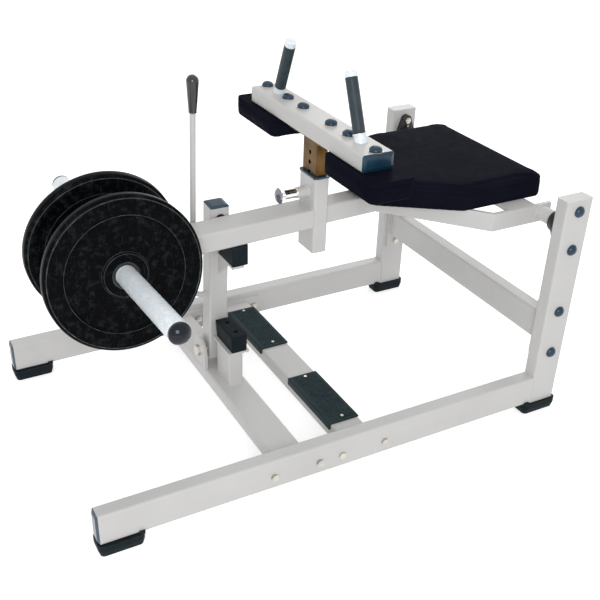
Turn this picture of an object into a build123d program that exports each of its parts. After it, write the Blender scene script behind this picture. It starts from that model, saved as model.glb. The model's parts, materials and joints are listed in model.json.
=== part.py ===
from build123d import *
import math
import os

# Seated calf raise machine, in millimetres.
# +X points to the rear, where the seat and the lever's pivot are. +Y points to the far side.
# +Z points up from the floor, and the origin is on the floor at the middle of the machine.

# Rectangular tube of the frame
tube_long = 80
tube_short = 40
tube_wall = 3
tube_corner = 6
flange_thickness = 8
drain_radius = 4

# Frame
frame_length = 1260
frame_width = 780
foot_height = 30
post_top_height = 608
front_cross_distance = 476
foot_cross_distance = 657
cross_tube_height = 64
cross_bolt_offset = 60
rear_cross_height = 243
rear_bolt_offset = 61
flange_margin = 20

# Fasteners
frame_bolt_radius = 5
post_bolt_radius = 5
bolt_hole_clearance = 0.3
hex_head_ratio = 1.9
hex_head_height_ratio = 1.3
dome_cap_radius = 14
dome_cap_height = 12
dome_cap_rim = 3
dome_cap_head_clearance = 0.4

# Rubber feet and plastic tube caps
foot_length = 106
foot_side_margin = 8
foot_end_margin = 6
foot_corner = 14
foot_taper_angle = 8
foot_rim_height = 7
cap_thickness = 5
cap_plug_length = 18
cap_plug_clearance = 0.3
bar_cap_plug_length = 6
cap_bevel_width = 8
cap_bevel_depth = 4
cap_face_corner = 1

# Foot pads on the foot tube
foot_pad_inner = 80
foot_pad_length = 220
foot_pad_thickness = 6
foot_pad_front_lip = 5
foot_pad_lip_depth = 20
foot_pad_screw_radius = 4
foot_pad_screw_height = 2
foot_pad_screw_inset = 15

# Lower bumper on its short post
bumper_post_distance = 482
bumper_post_top_height = 176
bumper_plate_thickness = 6
bumper_plate_margin = 2
lower_bumper_front_distance = 470
lower_bumper_width = 44
lower_bumper_near = -40
lower_bumper_length = 100
lower_bumper_height = 47
bumper_flare = 3
bumper_edge = 4
bumper_hole_radius = 6
bumper_hole_depth = 12
bumper_hole_spacing = 52

# Prop column and its hinge
prop_pivot_y = 98
prop_pivot_height = 124
prop_distance = 481
prop_size = 50
prop_lean_angle = 4.14
prop_tail = 18
prop_length_above_pivot = 429
hinge_bolt_radius = 8
hinge_bush_wall = 4
hinge_running_clearance = 0.1
hinge_side_clearance = 0.3
ear_thickness = 8
ear_radius = 40
prop_bracket_height = 422
prop_bracket_thickness = 6
gusset_thickness = 8
gusset_bottom_height = 365
gusset_near_y = -7
upper_bumper_front_distance = 475
upper_bumper_width = 42
upper_bumper_near = -40
upper_bumper_length = 86
rest_gap = 0.3
side_buffer_radius = 12.5
side_buffer_height = 524
side_buffer_gap = 0.5

# Hand lever on the prop
hand_lever_distance = 420
hand_lever_radius = 7
hand_lever_bend_height = 300
hand_lever_bend_radius = 25
hand_knob_bottom_height = 793
hand_knob_length = 87
hand_knob_top_radius = 14.5
hand_knob_bottom_radius = 9.5
hand_knob_socket_depth = 20
hand_knob_ring_height = 4

# Lever pivot and its bearings
pivot_height = 528
bearing_bolt_offset = 50.5
bearing_thickness = 30
bearing_foot_thickness = 14
bearing_ear_radius = 15
bearing_body_radius = 31
bearing_nose_radius = 27
bearing_ring_radius = 20.9
bearing_clearance = 0.1
bearing_ring_recess = 3
shaft_radius = 12.5
shaft_end_gap = 5
boss_radius = 19
boss_gap = 2

# Lever yoke
yoke_bar_height = 46
yoke_bar_thickness = 10
yoke_outer_y = 270
yoke_rear_distance = 1247
yoke_bend_distance = 1070
yoke_turn_angle = 48.6
yoke_plate_front_distance = 1120
yoke_plate_width = 80
yoke_plate_thickness = 10

# Lever arm
arm_front_distance = 150
arm_height = 50
arm_top_at_adjuster = 538
front_arm_width = 80
rear_arm_width = 60

# Height adjuster and thigh rest
adjuster_front_distance = 695
adjuster_bottom_height = 419
adjuster_top_height = 617
collar_height = 4
collar_overhang = 2.5
post_clearance = 0.3
inner_post_depth = 30
inner_post_width = 70
inner_post_corner = 3
inner_post_bottom_height = 440
thigh_bar_bottom_height = 721
thigh_bar_half_length = 270
head_plate_thickness = 6
head_plate_depth = 60
head_plate_length = 180
pin_below_adjuster_top = 43
pin_pitch = 25
pin_holes_below = 4
pin_holes_above = 4
pin_radius = 5
pin_hole_radius = 6
pin_tip_gap = 0.4
pin_boss_length = 31
pin_boss_radius = 14
pin_body_length = 33
pin_body_radius = 11.5
pin_body_wall = 3
pin_chamber_radius = 8
pin_collar_length = 4
pin_collar_clearance = 0.5
pin_running_clearance = 0.1
pin_neck_length = 7
pin_knob_length = 16
pin_knob_radius = 20
pin_knob_neck_radius = 9
pin_knob_rim = 6
spring_wall = 1.2
spring_bore_clearance = 0.5
thigh_bolt_radius = 4
thigh_bolt_head_radius = 14.5
thigh_bolt_head_height = 8
thigh_bolt_rim = 2
head_plate_bolt_y = 67
pad_inner_bolt_y = 146
pad_outer_bolt_y = 259

# Thigh pads
pad_inner_y = 120
pad_length = 223
pad_front_distance = 655
pad_width = 125
pad_height = 56
pad_corner = 22
board_thickness = 12
board_inset = 8

# Handles
handle_y = 197
handle_lean_angle = 22.7
handle_stub_radius = 14
handle_stub_length = 15
handle_ring_radius = 15.5
handle_ring_length = 4
handle_core_radius = 10.5
handle_grip_radius = 14.5
handle_grip_length = 122
handle_end_length = 14

# Seat
seat_rear_distance = 1265
seat_taper_distance = 1010
seat_front_distance = 820
seat_half_width = 227
seat_front_half_width = 102
seat_corner = 30
seat_height = 59
seat_bolt_radius = 4
seat_bolt_inner_y = 60
seat_bolt_outer_y = 180
seat_bolt_head_height = 5

# Weight sleeves and plates
sleeve_distance = 193.8
sleeve_centre_height = 489
sleeve_rise_angle = 4.76
sleeve_radius = 24.15
sleeve_wall = 3
stop_flange_radius = 42
stop_flange_start = 56
stop_flange_thickness = 8
stop_flange_weld_gap = 0.1
sleeve_groove_gap = 2
sleeve_groove_width = 2
sleeve_groove_depth = 0.8
sleeve_end = 426
sleeve_cap_length = 20
sleeve_cap_rim = 6
sleeve_cap_step = 0.3
sleeve_cap_plug_length = 20
plate_radius = 184
plate_thickness = 30
plate_bore_clearance = 0.35
plate_rim_inner_radius = 139
plate_hub_radius = 51
plate_web_recess = 5
plate_edge = 5

# Values that follow from the sizes above
frame_front = -frame_length / 2
frame_rear = frame_length / 2
outer_face_y = frame_width / 2
inner_face_y = outer_face_y - tube_short
side_tube_y = outer_face_y - tube_short / 2
pivot_x = frame_rear - tube_long / 2
cross_top_height = cross_tube_height + tube_short / 2
front_cross_x = frame_front + front_cross_distance
foot_cross_x = frame_front + foot_cross_distance
inner_corner = tube_corner - tube_wall
adjuster_front = frame_front + adjuster_front_distance
adjuster_rear = adjuster_front + tube_short
adjuster_x = adjuster_front + tube_short / 2
pin_height = adjuster_top_height - pin_below_adjuster_top
seat_bottom_height = pivot_height + yoke_bar_height / 2
yoke_inner_y = yoke_outer_y - yoke_bar_thickness
arm_run = yoke_plate_front_distance - adjuster_front_distance
arm_slope = (seat_bottom_height - arm_top_at_adjuster) / arm_run
prop_x = frame_front + prop_distance
prop_lean = math.radians(prop_lean_angle)
prop_plane = Plane(
    origin=(prop_x, prop_pivot_y, prop_pivot_height),
    x_dir=(1, 0, 0),
    z_dir=(0, -math.sin(prop_lean), math.cos(prop_lean)),
)
prop_side_plane = Plane(
    origin=(prop_x, prop_pivot_y, prop_pivot_height),
    x_dir=(1, 0, 0),
    z_dir=(0, -math.cos(prop_lean), -math.sin(prop_lean)),
)
os.makedirs("parts", exist_ok=True)


def save(builder, label):
    """Name a finished piece and write it as its own file."""
    builder.part.label = label
    export_step(builder.part, f"parts/{label}.step")


def arm_top_height(x):
    """Height of the lever arm's top at a place along the machine."""
    return arm_top_at_adjuster + arm_slope * (x - adjuster_front)


def prop_near_y(z):
    """Place of the leaning prop's near face at a height."""
    along = (z - prop_pivot_height) * math.tan(prop_lean)
    return prop_pivot_y - prop_size / 2 / math.cos(prop_lean) - along


def tube(plane, length, width, height):
    """Hollow rectangular tube that starts on a plane and runs along its normal."""
    with BuildPart() as result:
        with BuildSketch(plane):
            RectangleRounded(width, height, tube_corner)
            RectangleRounded(
                width - 2 * tube_wall, height - 2 * tube_wall, inner_corner, mode=Mode.SUBTRACT
            )
        extrude(amount=length)
    return result.part


def rod_along(axis_name, radius, start, length):
    """Plain round rod that starts at a point and runs along +X, +Y or +Z."""
    directions = {"X": (1, 0, 0), "Y": (0, 1, 0), "Z": (0, 0, 1)}
    with BuildPart() as result:
        with BuildSketch(Plane(origin=start, z_dir=directions[axis_name])):
            Circle(radius)
        extrude(amount=length)
    return result.part


def hex_prism(radius, plane, height):
    """Hexagonal bolt head or nut for a bolt of a given radius."""
    with BuildPart() as result:
        with BuildSketch(plane):
            RegularPolygon(hex_head_ratio * radius, 6)
        extrude(amount=height)
    return result.part


def turned(profile, plane, axis):
    """Turn a profile of (distance along, radius) points about the plane's x direction."""
    with BuildPart() as result:
        with BuildSketch(plane):
            Polygon(*profile, align=None)
        revolve(axis=axis)
    return result.part


def dome(rim, rim_radius, top):
    """Round arc from a rim point (rim, rim_radius) to the dome's top on the axis."""
    rise = abs(top - rim)
    ball_radius = (rim_radius**2 + rise**2) / (2 * rise)
    direction = 1 if top > rim else -1
    half_turn = math.asin(rim_radius / ball_radius) / 2
    middle = top - direction * ball_radius * (1 - math.cos(half_turn))
    ThreePointArc((rim, rim_radius), (middle, ball_radius * math.sin(half_turn)), (top, 0))


def mirror_to_far(part):
    """The same piece on the far side."""
    return mirror(part, about=Plane.XZ)


# Base tubes and rear posts
bolt_xs = [
    front_cross_x - cross_bolt_offset,
    front_cross_x + cross_bolt_offset,
    foot_cross_x - cross_bolt_offset,
    foot_cross_x + cross_bolt_offset,
]
post_bolt_zs = [
    pivot_height + bearing_bolt_offset,
    pivot_height - bearing_bolt_offset,
    rear_cross_height + rear_bolt_offset,
    rear_cross_height - rear_bolt_offset,
]
base_hole = frame_bolt_radius + bolt_hole_clearance
post_hole = post_bolt_radius + bolt_hole_clearance
base_centre_height = foot_height + tube_long / 2
for side, word in ((-1, "near"), (1, "far")):
    with BuildPart() as base_tube:
        add(
            tube(
                Plane(
                    origin=(frame_front, side * side_tube_y, base_centre_height),
                    x_dir=(0, 1, 0),
                    z_dir=(1, 0, 0),
                ),
                frame_length - tube_long,
                tube_short,
                tube_long,
            )
        )
        for x in bolt_xs:
            start = (x, side * side_tube_y - tube_short, cross_tube_height)
            add(rod_along("Y", base_hole, start, 2 * tube_short), mode=Mode.SUBTRACT)
    save(base_tube, f"{word}_base_tube")

    with BuildPart() as rear_post:
        add(
            tube(
                Plane(origin=(pivot_x, side * side_tube_y, foot_height)),
                post_top_height - foot_height,
                tube_long,
                tube_short,
            )
        )
        with BuildSketch(Plane(origin=(pivot_x, side * side_tube_y, post_top_height - tube_wall))):
            RectangleRounded(tube_long, tube_short, tube_corner)
        extrude(amount=tube_wall)
        for z in post_bolt_zs:
            start = (pivot_x, side * side_tube_y - tube_short, z)
            add(rod_along("Y", post_hole, start, 2 * tube_short), mode=Mode.SUBTRACT)
    save(rear_post, f"{word}_rear_post")


# Cross tubes, each welded between two flange plates
def cross_tube(x, z, width, height, bolt_dx, bolt_dz, flange_width, flange_height, hole):
    """Tube across the machine, with a drilled flange plate welded on each end."""
    half = inner_face_y - flange_thickness
    with BuildPart() as result:
        add(tube(Plane(origin=(x, -half, z), x_dir=(1, 0, 0), z_dir=(0, 1, 0)), 2 * half, width, height))
        for y in (-inner_face_y, half):
            with BuildSketch(Plane(origin=(x, y, z), x_dir=(1, 0, 0), z_dir=(0, 1, 0))):
                RectangleRounded(flange_width, flange_height, tube_corner)
                for sign in (-1, 1):
                    with Locations((sign * bolt_dx, sign * bolt_dz)):
                        Circle(hole, mode=Mode.SUBTRACT)
            extrude(amount=flange_thickness)
        add(rod_along("Z", drain_radius, (x, 0, z - height), height), mode=Mode.SUBTRACT)
    return result


flange_length = 2 * (cross_bolt_offset + flange_margin)
flange_height = tube_short + flange_margin
for x, label in ((front_cross_x, "front_cross_tube"), (foot_cross_x, "foot_cross_tube")):
    cross = cross_tube(
        x, cross_tube_height, tube_long, tube_short, cross_bolt_offset, 0,
        flange_length, flange_height, base_hole,
    )
    save(cross, label)
rear_cross = cross_tube(
    pivot_x, rear_cross_height, tube_short, tube_long, 0, rear_bolt_offset,
    flange_height, 2 * (rear_bolt_offset + flange_margin), post_hole,
)
save(rear_cross, "rear_cross_tube")


# Bolts and nuts of the frame, one bolt and one nut at each place
def bolt_and_nut(x, z, side, radius, grip):
    """Hexagon bolt from the machine's outer face inwards, with its nut behind the last plate."""
    head_height = hex_head_height_ratio * radius
    outwards = Plane(origin=(x, side * outer_face_y, z), x_dir=(1, 0, 0), z_dir=(0, side, 0))
    nut_face = side * (outer_face_y - grip)
    inwards = Plane(origin=(x, nut_face, z), x_dir=(1, 0, 0), z_dir=(0, -side, 0))
    with BuildPart() as bolt:
        add(hex_prism(radius, outwards, head_height))
        with BuildSketch(outwards):
            Circle(radius)
        extrude(amount=-(grip + head_height + 2))
    with BuildPart() as nut:
        add(hex_prism(radius, inwards, head_height))
        with BuildSketch(inwards):
            Circle(radius)
        extrude(amount=head_height, mode=Mode.SUBTRACT)
    return [bolt.part, nut.part]


bolt_grip = tube_short + flange_thickness
bearing_bolt_grip = tube_short + bearing_foot_thickness
with BuildPart() as frame_bolts:
    for side in (-1, 1):
        for x in bolt_xs:
            add(bolt_and_nut(x, cross_tube_height, side, frame_bolt_radius, bolt_grip))
        for z in post_bolt_zs[:2]:
            add(bolt_and_nut(pivot_x, z, side, post_bolt_radius, bearing_bolt_grip))
        for z in post_bolt_zs[2:]:
            add(bolt_and_nut(pivot_x, z, side, post_bolt_radius, bolt_grip))
save(frame_bolts, "frame_bolts")

cap_room_height = hex_head_height_ratio * post_bolt_radius + dome_cap_head_clearance
cap_room_radius = hex_head_ratio * post_bolt_radius + dome_cap_head_clearance
with BuildPart() as post_bolt_caps:
    for side in (-1, 1):
        for z in post_bolt_zs:
            cap_plane = Plane(
                origin=(pivot_x, side * outer_face_y, z), x_dir=(0, side, 0), z_dir=(1, 0, 0)
            )
            with BuildSketch(cap_plane):
                with BuildLine():
                    Polyline(
                        (dome_cap_height, 0),
                        (cap_room_height, 0),
                        (cap_room_height, cap_room_radius),
                        (0, cap_room_radius),
                        (0, dome_cap_radius),
                        (dome_cap_rim, dome_cap_radius),
                    )
                    dome(dome_cap_rim, dome_cap_radius, dome_cap_height)
                make_face()
            revolve(axis=Axis((pivot_x, side * outer_face_y, z), (0, side, 0)))
save(post_bolt_caps, "post_bolt_caps")


# Rubber feet under the base tubes
foot_width = tube_short + 2 * foot_side_margin
foot_bottom_inset = foot_height * math.tan(math.radians(foot_taper_angle))


def rubber_foot(x, y, inner_direction):
    """Moulded foot that narrows to the floor and has a raised lip at its inner end."""
    with BuildPart() as foot:
        with BuildSketch(Plane(origin=(x, y, 0))):
            RectangleRounded(
                foot_length - 2 * foot_bottom_inset, foot_width - 2 * foot_bottom_inset,
                foot_corner - foot_bottom_inset,
            )
        with BuildSketch(Plane(origin=(x, y, foot_height / 2))):
            RectangleRounded(foot_length, foot_width, foot_corner)
        loft(ruled=True)
        with BuildSketch(Plane(origin=(x, y, foot_height / 2))):
            RectangleRounded(foot_length, foot_width, foot_corner)
        extrude(amount=foot_height / 2)
        lip_x = x + inner_direction * (foot_length / 2 - foot_corner / 2)
        with BuildSketch(Plane(origin=(lip_x, y, foot_height))):
            RectangleRounded(foot_corner, foot_width, foot_corner / 2 - 0.5)
            Rectangle(foot_corner, tube_short + 2 * bolt_hole_clearance, mode=Mode.SUBTRACT)
        extrude(amount=foot_rim_height)
    return foot.part


for end, label in ((-1, "front_feet"), (1, "rear_feet")):
    end_x = end * (frame_rear + foot_end_margin - foot_length / 2)
    with BuildPart() as feet:
        for side in (-1, 1):
            add(rubber_foot(end_x, side * side_tube_y, -end))
    save(feet, label)


# Plastic caps in the open tube ends
def tube_cap(plane, width, height, corner, wall, plug_length):
    """Bevelled cap on a tube's end, with a plug that fits inside the tube."""
    with BuildPart() as cap:
        with BuildSketch(plane):
            RectangleRounded(width, height, corner)
        extrude(amount=cap_thickness - cap_bevel_depth)
        with BuildSketch(plane.offset(cap_thickness - cap_bevel_depth)):
            RectangleRounded(width, height, corner)
        with BuildSketch(plane.offset(cap_thickness)):
            RectangleRounded(
                width - 2 * cap_bevel_width, height - 2 * cap_bevel_width, cap_face_corner
            )
        loft(ruled=True)
        with BuildSketch(plane):
            RectangleRounded(
                width - 2 * wall - 2 * cap_plug_clearance,
                height - 2 * wall - 2 * cap_plug_clearance,
                corner - wall,
            )
        extrude(amount=-plug_length)
    return cap.part


with BuildPart() as base_end_caps:
    for side in (-1, 1):
        cap_plane = Plane(
            origin=(frame_front, side * side_tube_y, base_centre_height),
            x_dir=(0, 1, 0),
            z_dir=(-1, 0, 0),
        )
        add(tube_cap(cap_plane, tube_short, tube_long, tube_corner, tube_wall, cap_plug_length))
save(base_end_caps, "base_end_caps")


# Foot pads, each with a lip over the tube's front edge
foot_pad_front = foot_cross_x - tube_long / 2 - foot_pad_front_lip
foot_pad_rear = foot_cross_x + tube_long / 2
pad_screw_ys = (foot_pad_inner + foot_pad_screw_inset, foot_pad_inner + foot_pad_length - foot_pad_screw_inset)
pad_top_height = cross_top_height + foot_pad_thickness
with BuildPart() as near_foot_pad:
    with BuildSketch(Plane.XZ.offset(foot_pad_inner)):
        Polygon(
            (foot_pad_front, pad_top_height),
            (foot_pad_rear, pad_top_height),
            (foot_pad_rear, cross_top_height),
            (foot_pad_front + foot_pad_front_lip, cross_top_height),
            (foot_pad_front + foot_pad_front_lip, pad_top_height - foot_pad_lip_depth),
            (foot_pad_front, pad_top_height - foot_pad_lip_depth),
            align=None,
        )
    extrude(amount=foot_pad_length)
save(near_foot_pad, "near_foot_pad")
with BuildPart() as far_foot_pad:
    add(mirror_to_far(near_foot_pad.part))
save(far_foot_pad, "far_foot_pad")

with BuildPart() as foot_pad_screws:
    for side in (-1, 1):
        for y in pad_screw_ys:
            with BuildSketch(Plane(origin=(foot_cross_x, side * y, pad_top_height))):
                Circle(foot_pad_screw_radius)
            extrude(amount=foot_pad_screw_height)
save(foot_pad_screws, "foot_pad_screws")


# Short post that carries the lower bumper
bumper_post_x = frame_front + bumper_post_distance
bumper_front = frame_front + lower_bumper_front_distance
bumper_plate_front = bumper_post_x - tube_short / 2
bumper_plate_rear = bumper_front + lower_bumper_width + bumper_flare + bumper_plate_margin
lower_bumper_y = lower_bumper_near + lower_bumper_length / 2
with BuildPart() as lower_bumper_post:
    add(
        tube(
            Plane(origin=(bumper_post_x, 0, cross_top_height)),
            bumper_post_top_height - cross_top_height,
            tube_short,
            tube_long,
        )
    )
    plate_centre_x = (bumper_plate_front + bumper_plate_rear) / 2
    with BuildSketch(Plane(origin=(plate_centre_x, lower_bumper_y, bumper_post_top_height))):
        Rectangle(bumper_plate_rear - bumper_plate_front, lower_bumper_length)
    extrude(amount=bumper_plate_thickness)
save(lower_bumper_post, "lower_bumper_post")

lower_bumper_bottom = bumper_post_top_height + bumper_plate_thickness
lower_bumper_x = bumper_front + lower_bumper_width / 2
with BuildPart() as lower_bumper:
    with BuildSketch(Plane(origin=(lower_bumper_x, lower_bumper_y, lower_bumper_bottom))):
        RectangleRounded(lower_bumper_width - bumper_flare, lower_bumper_length, bumper_edge)
    with BuildSketch(
        Plane(origin=(lower_bumper_x, lower_bumper_y, lower_bumper_bottom + lower_bumper_height))
    ):
        RectangleRounded(lower_bumper_width + bumper_flare, lower_bumper_length, bumper_edge)
    loft(ruled=True)
    with Locations(
        *[
            (lower_bumper_x, lower_bumper_y + sign * bumper_hole_spacing / 2,
             lower_bumper_bottom + lower_bumper_height)
            for sign in (-1, 1)
        ]
    ):
        Hole(bumper_hole_radius, depth=bumper_hole_depth)
save(lower_bumper, "lower_bumper")


# Hinge of the prop: two ears on the front cross tube, and a bolt with spacers
ear_front = front_cross_x - tube_long / 2
ear_rear = front_cross_x + tube_long / 2
prop_front = prop_x - prop_size / 2
prop_rear = prop_x + prop_size / 2
with BuildPart() as prop_hinge_ears:
    for ear_x in (ear_front, ear_rear - ear_thickness):
        with BuildSketch(Plane.YZ.offset(ear_x)):
            with Locations((prop_pivot_y, prop_pivot_height)):
                Circle(ear_radius)
            with Locations((prop_pivot_y, (cross_top_height + prop_pivot_height) / 2)):
                Rectangle(2 * ear_radius, prop_pivot_height - cross_top_height)
            with Locations((prop_pivot_y, cross_top_height - ear_radius / 2)):
                Rectangle(3 * ear_radius, ear_radius, mode=Mode.SUBTRACT)
            with Locations((prop_pivot_y, prop_pivot_height)):
                Circle(hinge_bolt_radius + bolt_hole_clearance, mode=Mode.SUBTRACT)
        extrude(amount=ear_thickness)
save(prop_hinge_ears, "prop_hinge_ears")

hinge_head_height = hinge_bolt_radius
hinge_head_plane = Plane(
    origin=(ear_front, prop_pivot_y, prop_pivot_height), x_dir=(0, 1, 0), z_dir=(-1, 0, 0)
)
hinge_nut_plane = Plane(
    origin=(ear_rear, prop_pivot_y, prop_pivot_height), x_dir=(0, 1, 0), z_dir=(1, 0, 0)
)
hinge_bolt_length = ear_rear - ear_front + 2 * hinge_head_height
with BuildPart() as hinge_bolt:
    add(hex_prism(hinge_bolt_radius, hinge_head_plane, hinge_head_height))
    with BuildSketch(hinge_head_plane):
        Circle(hinge_bolt_radius)
    extrude(amount=-hinge_bolt_length)
with BuildPart() as hinge_nut:
    add(hex_prism(hinge_bolt_radius, hinge_nut_plane, hinge_head_height))
    with BuildSketch(hinge_nut_plane):
        Circle(hinge_bolt_radius)
    extrude(amount=hinge_head_height, mode=Mode.SUBTRACT)
hinge_spacers = []
for spacer_start, spacer_end in (
    (ear_front + ear_thickness, prop_front - hinge_side_clearance),
    (prop_rear + hinge_side_clearance, ear_rear - ear_thickness),
):
    with BuildPart() as spacer:
        with BuildSketch(Plane(origin=(spacer_start, prop_pivot_y, prop_pivot_height), z_dir=(1, 0, 0))):
            Circle(hinge_bolt_radius * 2)
            Circle(hinge_bolt_radius, mode=Mode.SUBTRACT)
        extrude(amount=spacer_end - spacer_start)
    hinge_spacers.append(spacer.part)
with BuildPart() as prop_hinge_bolt:
    add([hinge_bolt.part, hinge_nut.part] + hinge_spacers)
save(prop_hinge_bolt, "prop_hinge_bolt")


# Prop column with a bush welded through it for the hinge bolt
hinge_bore = hinge_bolt_radius + hinge_running_clearance
with BuildPart() as prop_column:
    add(tube(prop_plane.offset(-prop_tail), prop_tail + prop_length_above_pivot, prop_size, prop_size))
    hinge_start = (prop_front, prop_pivot_y, prop_pivot_height)
    add(rod_along("X", hinge_bore + hinge_bush_wall, hinge_start, prop_size))
    add(rod_along("X", hinge_bore, hinge_start, prop_size), mode=Mode.SUBTRACT)
save(prop_column, "prop_column")

with BuildPart() as prop_cap:
    add(
        tube_cap(
            prop_plane.offset(prop_length_above_pivot),
            prop_size,
            prop_size,
            tube_corner,
            tube_wall,
            cap_plug_length,
        )
    )
save(prop_cap, "prop_cap")

bracket_top = prop_bracket_height + prop_bracket_thickness
upper_bumper_front = frame_front + upper_bumper_front_distance
upper_bumper_rear = upper_bumper_front + upper_bumper_width
gusset_x = prop_x - gusset_thickness / 2
with BuildPart() as prop_bracket:
    with BuildSketch(Plane.YZ.offset(upper_bumper_front)):
        Polygon(
            (upper_bumper_near, prop_bracket_height),
            (prop_near_y(prop_bracket_height), prop_bracket_height),
            (prop_near_y(bracket_top), bracket_top),
            (upper_bumper_near, bracket_top),
            align=None,
        )
    extrude(amount=min(upper_bumper_width, prop_rear - upper_bumper_front))
    with BuildSketch(Plane.YZ.offset(gusset_x)):
        Polygon(
            (gusset_near_y, prop_bracket_height),
            (prop_near_y(gusset_bottom_height), gusset_bottom_height),
            (prop_near_y(prop_bracket_height), prop_bracket_height),
            align=None,
        )
    extrude(amount=gusset_thickness)
save(prop_bracket, "prop_bracket")

upper_bumper_y = upper_bumper_near + upper_bumper_length / 2
bumper_top_front = arm_top_height(upper_bumper_front) - arm_height - rest_gap
bumper_top_rear = arm_top_height(upper_bumper_rear) - arm_height - rest_gap
with BuildPart() as upper_bumper:
    with BuildSketch(Plane.XZ.offset(-upper_bumper_near)):
        Polygon(
            (upper_bumper_front, bracket_top),
            (upper_bumper_rear, bracket_top),
            (upper_bumper_rear, bumper_top_rear),
            (upper_bumper_front, bumper_top_front),
            align=None,
        )
    extrude(amount=-upper_bumper_length)
    fillet(upper_bumper.edges().filter_by(Axis.Z), bumper_edge)
save(upper_bumper, "upper_bumper")

# The buffer's face stays clear of the lever arm's far side
buffer_z = (side_buffer_height - prop_pivot_height) / math.cos(prop_lean)
buffer_tilt_reach = side_buffer_radius * math.sin(prop_lean)
buffer_room = prop_near_y(side_buffer_height) - front_arm_width / 2
buffer_thickness = buffer_room - buffer_tilt_reach - side_buffer_gap
buffer_origin = prop_plane.from_local_coords((0, -prop_size / 2, buffer_z))
with BuildPart() as side_buffer:
    with BuildSketch(Plane(origin=buffer_origin, x_dir=(1, 0, 0), z_dir=-prop_plane.y_dir)):
        Circle(side_buffer_radius)
    extrude(amount=buffer_thickness)
save(side_buffer, "prop_side_buffer")


# Hand lever: a bent rod from the prop's front face, with a knob on top
lever_offset = frame_front + hand_lever_distance - prop_x
bend_z = (hand_lever_bend_height - prop_pivot_height) / math.cos(prop_lean)
knob_z = (hand_knob_bottom_height - prop_pivot_height) / math.cos(prop_lean)
with BuildPart() as hand_lever_rod:
    with BuildLine(prop_side_plane) as rod_path:
        FilletPolyline(
            (-prop_size / 2, bend_z),
            (lever_offset, bend_z),
            (lever_offset, knob_z + hand_knob_socket_depth),
            radius=hand_lever_bend_radius,
        )
    with BuildSketch(Plane(origin=rod_path.line @ 0, z_dir=rod_path.line % 0)):
        Circle(hand_lever_radius)
    sweep()
save(hand_lever_rod, "hand_lever_rod")

knob_axis_origin = prop_plane.from_local_coords((lever_offset, 0, knob_z))
knob_plane = Plane(origin=knob_axis_origin, x_dir=prop_plane.z_dir, z_dir=prop_side_plane.z_dir)
knob_side_top = hand_knob_length - hand_knob_top_radius
with BuildPart() as hand_lever_knob:
    with BuildSketch(knob_plane):
        with BuildLine():
            Polyline(
                (hand_knob_length, 0),
                (hand_knob_socket_depth, 0),
                (hand_knob_socket_depth, hand_lever_radius),
                (0, hand_lever_radius),
                (0, hand_knob_bottom_radius),
                (hand_knob_ring_height, hand_knob_bottom_radius),
                (knob_side_top, hand_knob_top_radius),
            )
            dome(knob_side_top, hand_knob_top_radius, hand_knob_length)
        make_face()
    revolve(axis=Axis(knob_axis_origin, prop_plane.z_dir))
save(hand_lever_knob, "hand_lever_knob")


# Flanged bearing units on the posts' inner faces, and the rings that turn in them
bearing_bore = bearing_ring_radius + bearing_clearance
ring_start = inner_face_y - bearing_thickness + bearing_ring_recess
for side, word in ((-1, "near"), (1, "far")):
    bearing_plane = Plane(
        origin=(pivot_x, side * inner_face_y, pivot_height), x_dir=(1, 0, 0), z_dir=(0, -side, 0)
    )
    with BuildPart() as bearing_housing:
        with BuildSketch(bearing_plane):
            Circle(bearing_body_radius)
            with Locations((0, bearing_bolt_offset), (0, -bearing_bolt_offset)):
                Circle(bearing_ear_radius)
            make_hull()
            with Locations((0, bearing_bolt_offset), (0, -bearing_bolt_offset)):
                Circle(post_hole, mode=Mode.SUBTRACT)
        extrude(amount=bearing_foot_thickness)
        with BuildSketch(bearing_plane.offset(bearing_foot_thickness)):
            Circle(bearing_body_radius)
        with BuildSketch(bearing_plane.offset(bearing_thickness)):
            Circle(bearing_nose_radius)
        loft()
        with BuildSketch(bearing_plane):
            Circle(bearing_bore)
        extrude(amount=bearing_thickness, mode=Mode.SUBTRACT)
    save(bearing_housing, f"{word}_bearing_housing")

shaft_end_y = inner_face_y - shaft_end_gap
boss_end_y = inner_face_y - bearing_thickness - boss_gap
with BuildPart() as bearing_rings:
    for side in (-1, 1):
        ring_plane = Plane(
            origin=(pivot_x, side * ring_start, pivot_height), x_dir=(1, 0, 0), z_dir=(0, side, 0)
        )
        with BuildSketch(ring_plane):
            Circle(bearing_ring_radius)
            Circle(shaft_radius, mode=Mode.SUBTRACT)
        extrude(amount=shaft_end_y - ring_start)
save(bearing_rings, "bearing_rings")

with BuildPart() as stub_shafts:
    for side in (-1, 1):
        shaft_plane = Plane(
            origin=(pivot_x, side * yoke_outer_y, pivot_height), x_dir=(1, 0, 0), z_dir=(0, side, 0)
        )
        with BuildSketch(shaft_plane):
            Circle(boss_radius)
        extrude(amount=boss_end_y - yoke_outer_y)
        with BuildSketch(shaft_plane):
            Circle(shaft_radius)
        extrude(amount=shaft_end_y - yoke_outer_y)
save(stub_shafts, "stub_shafts")


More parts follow.
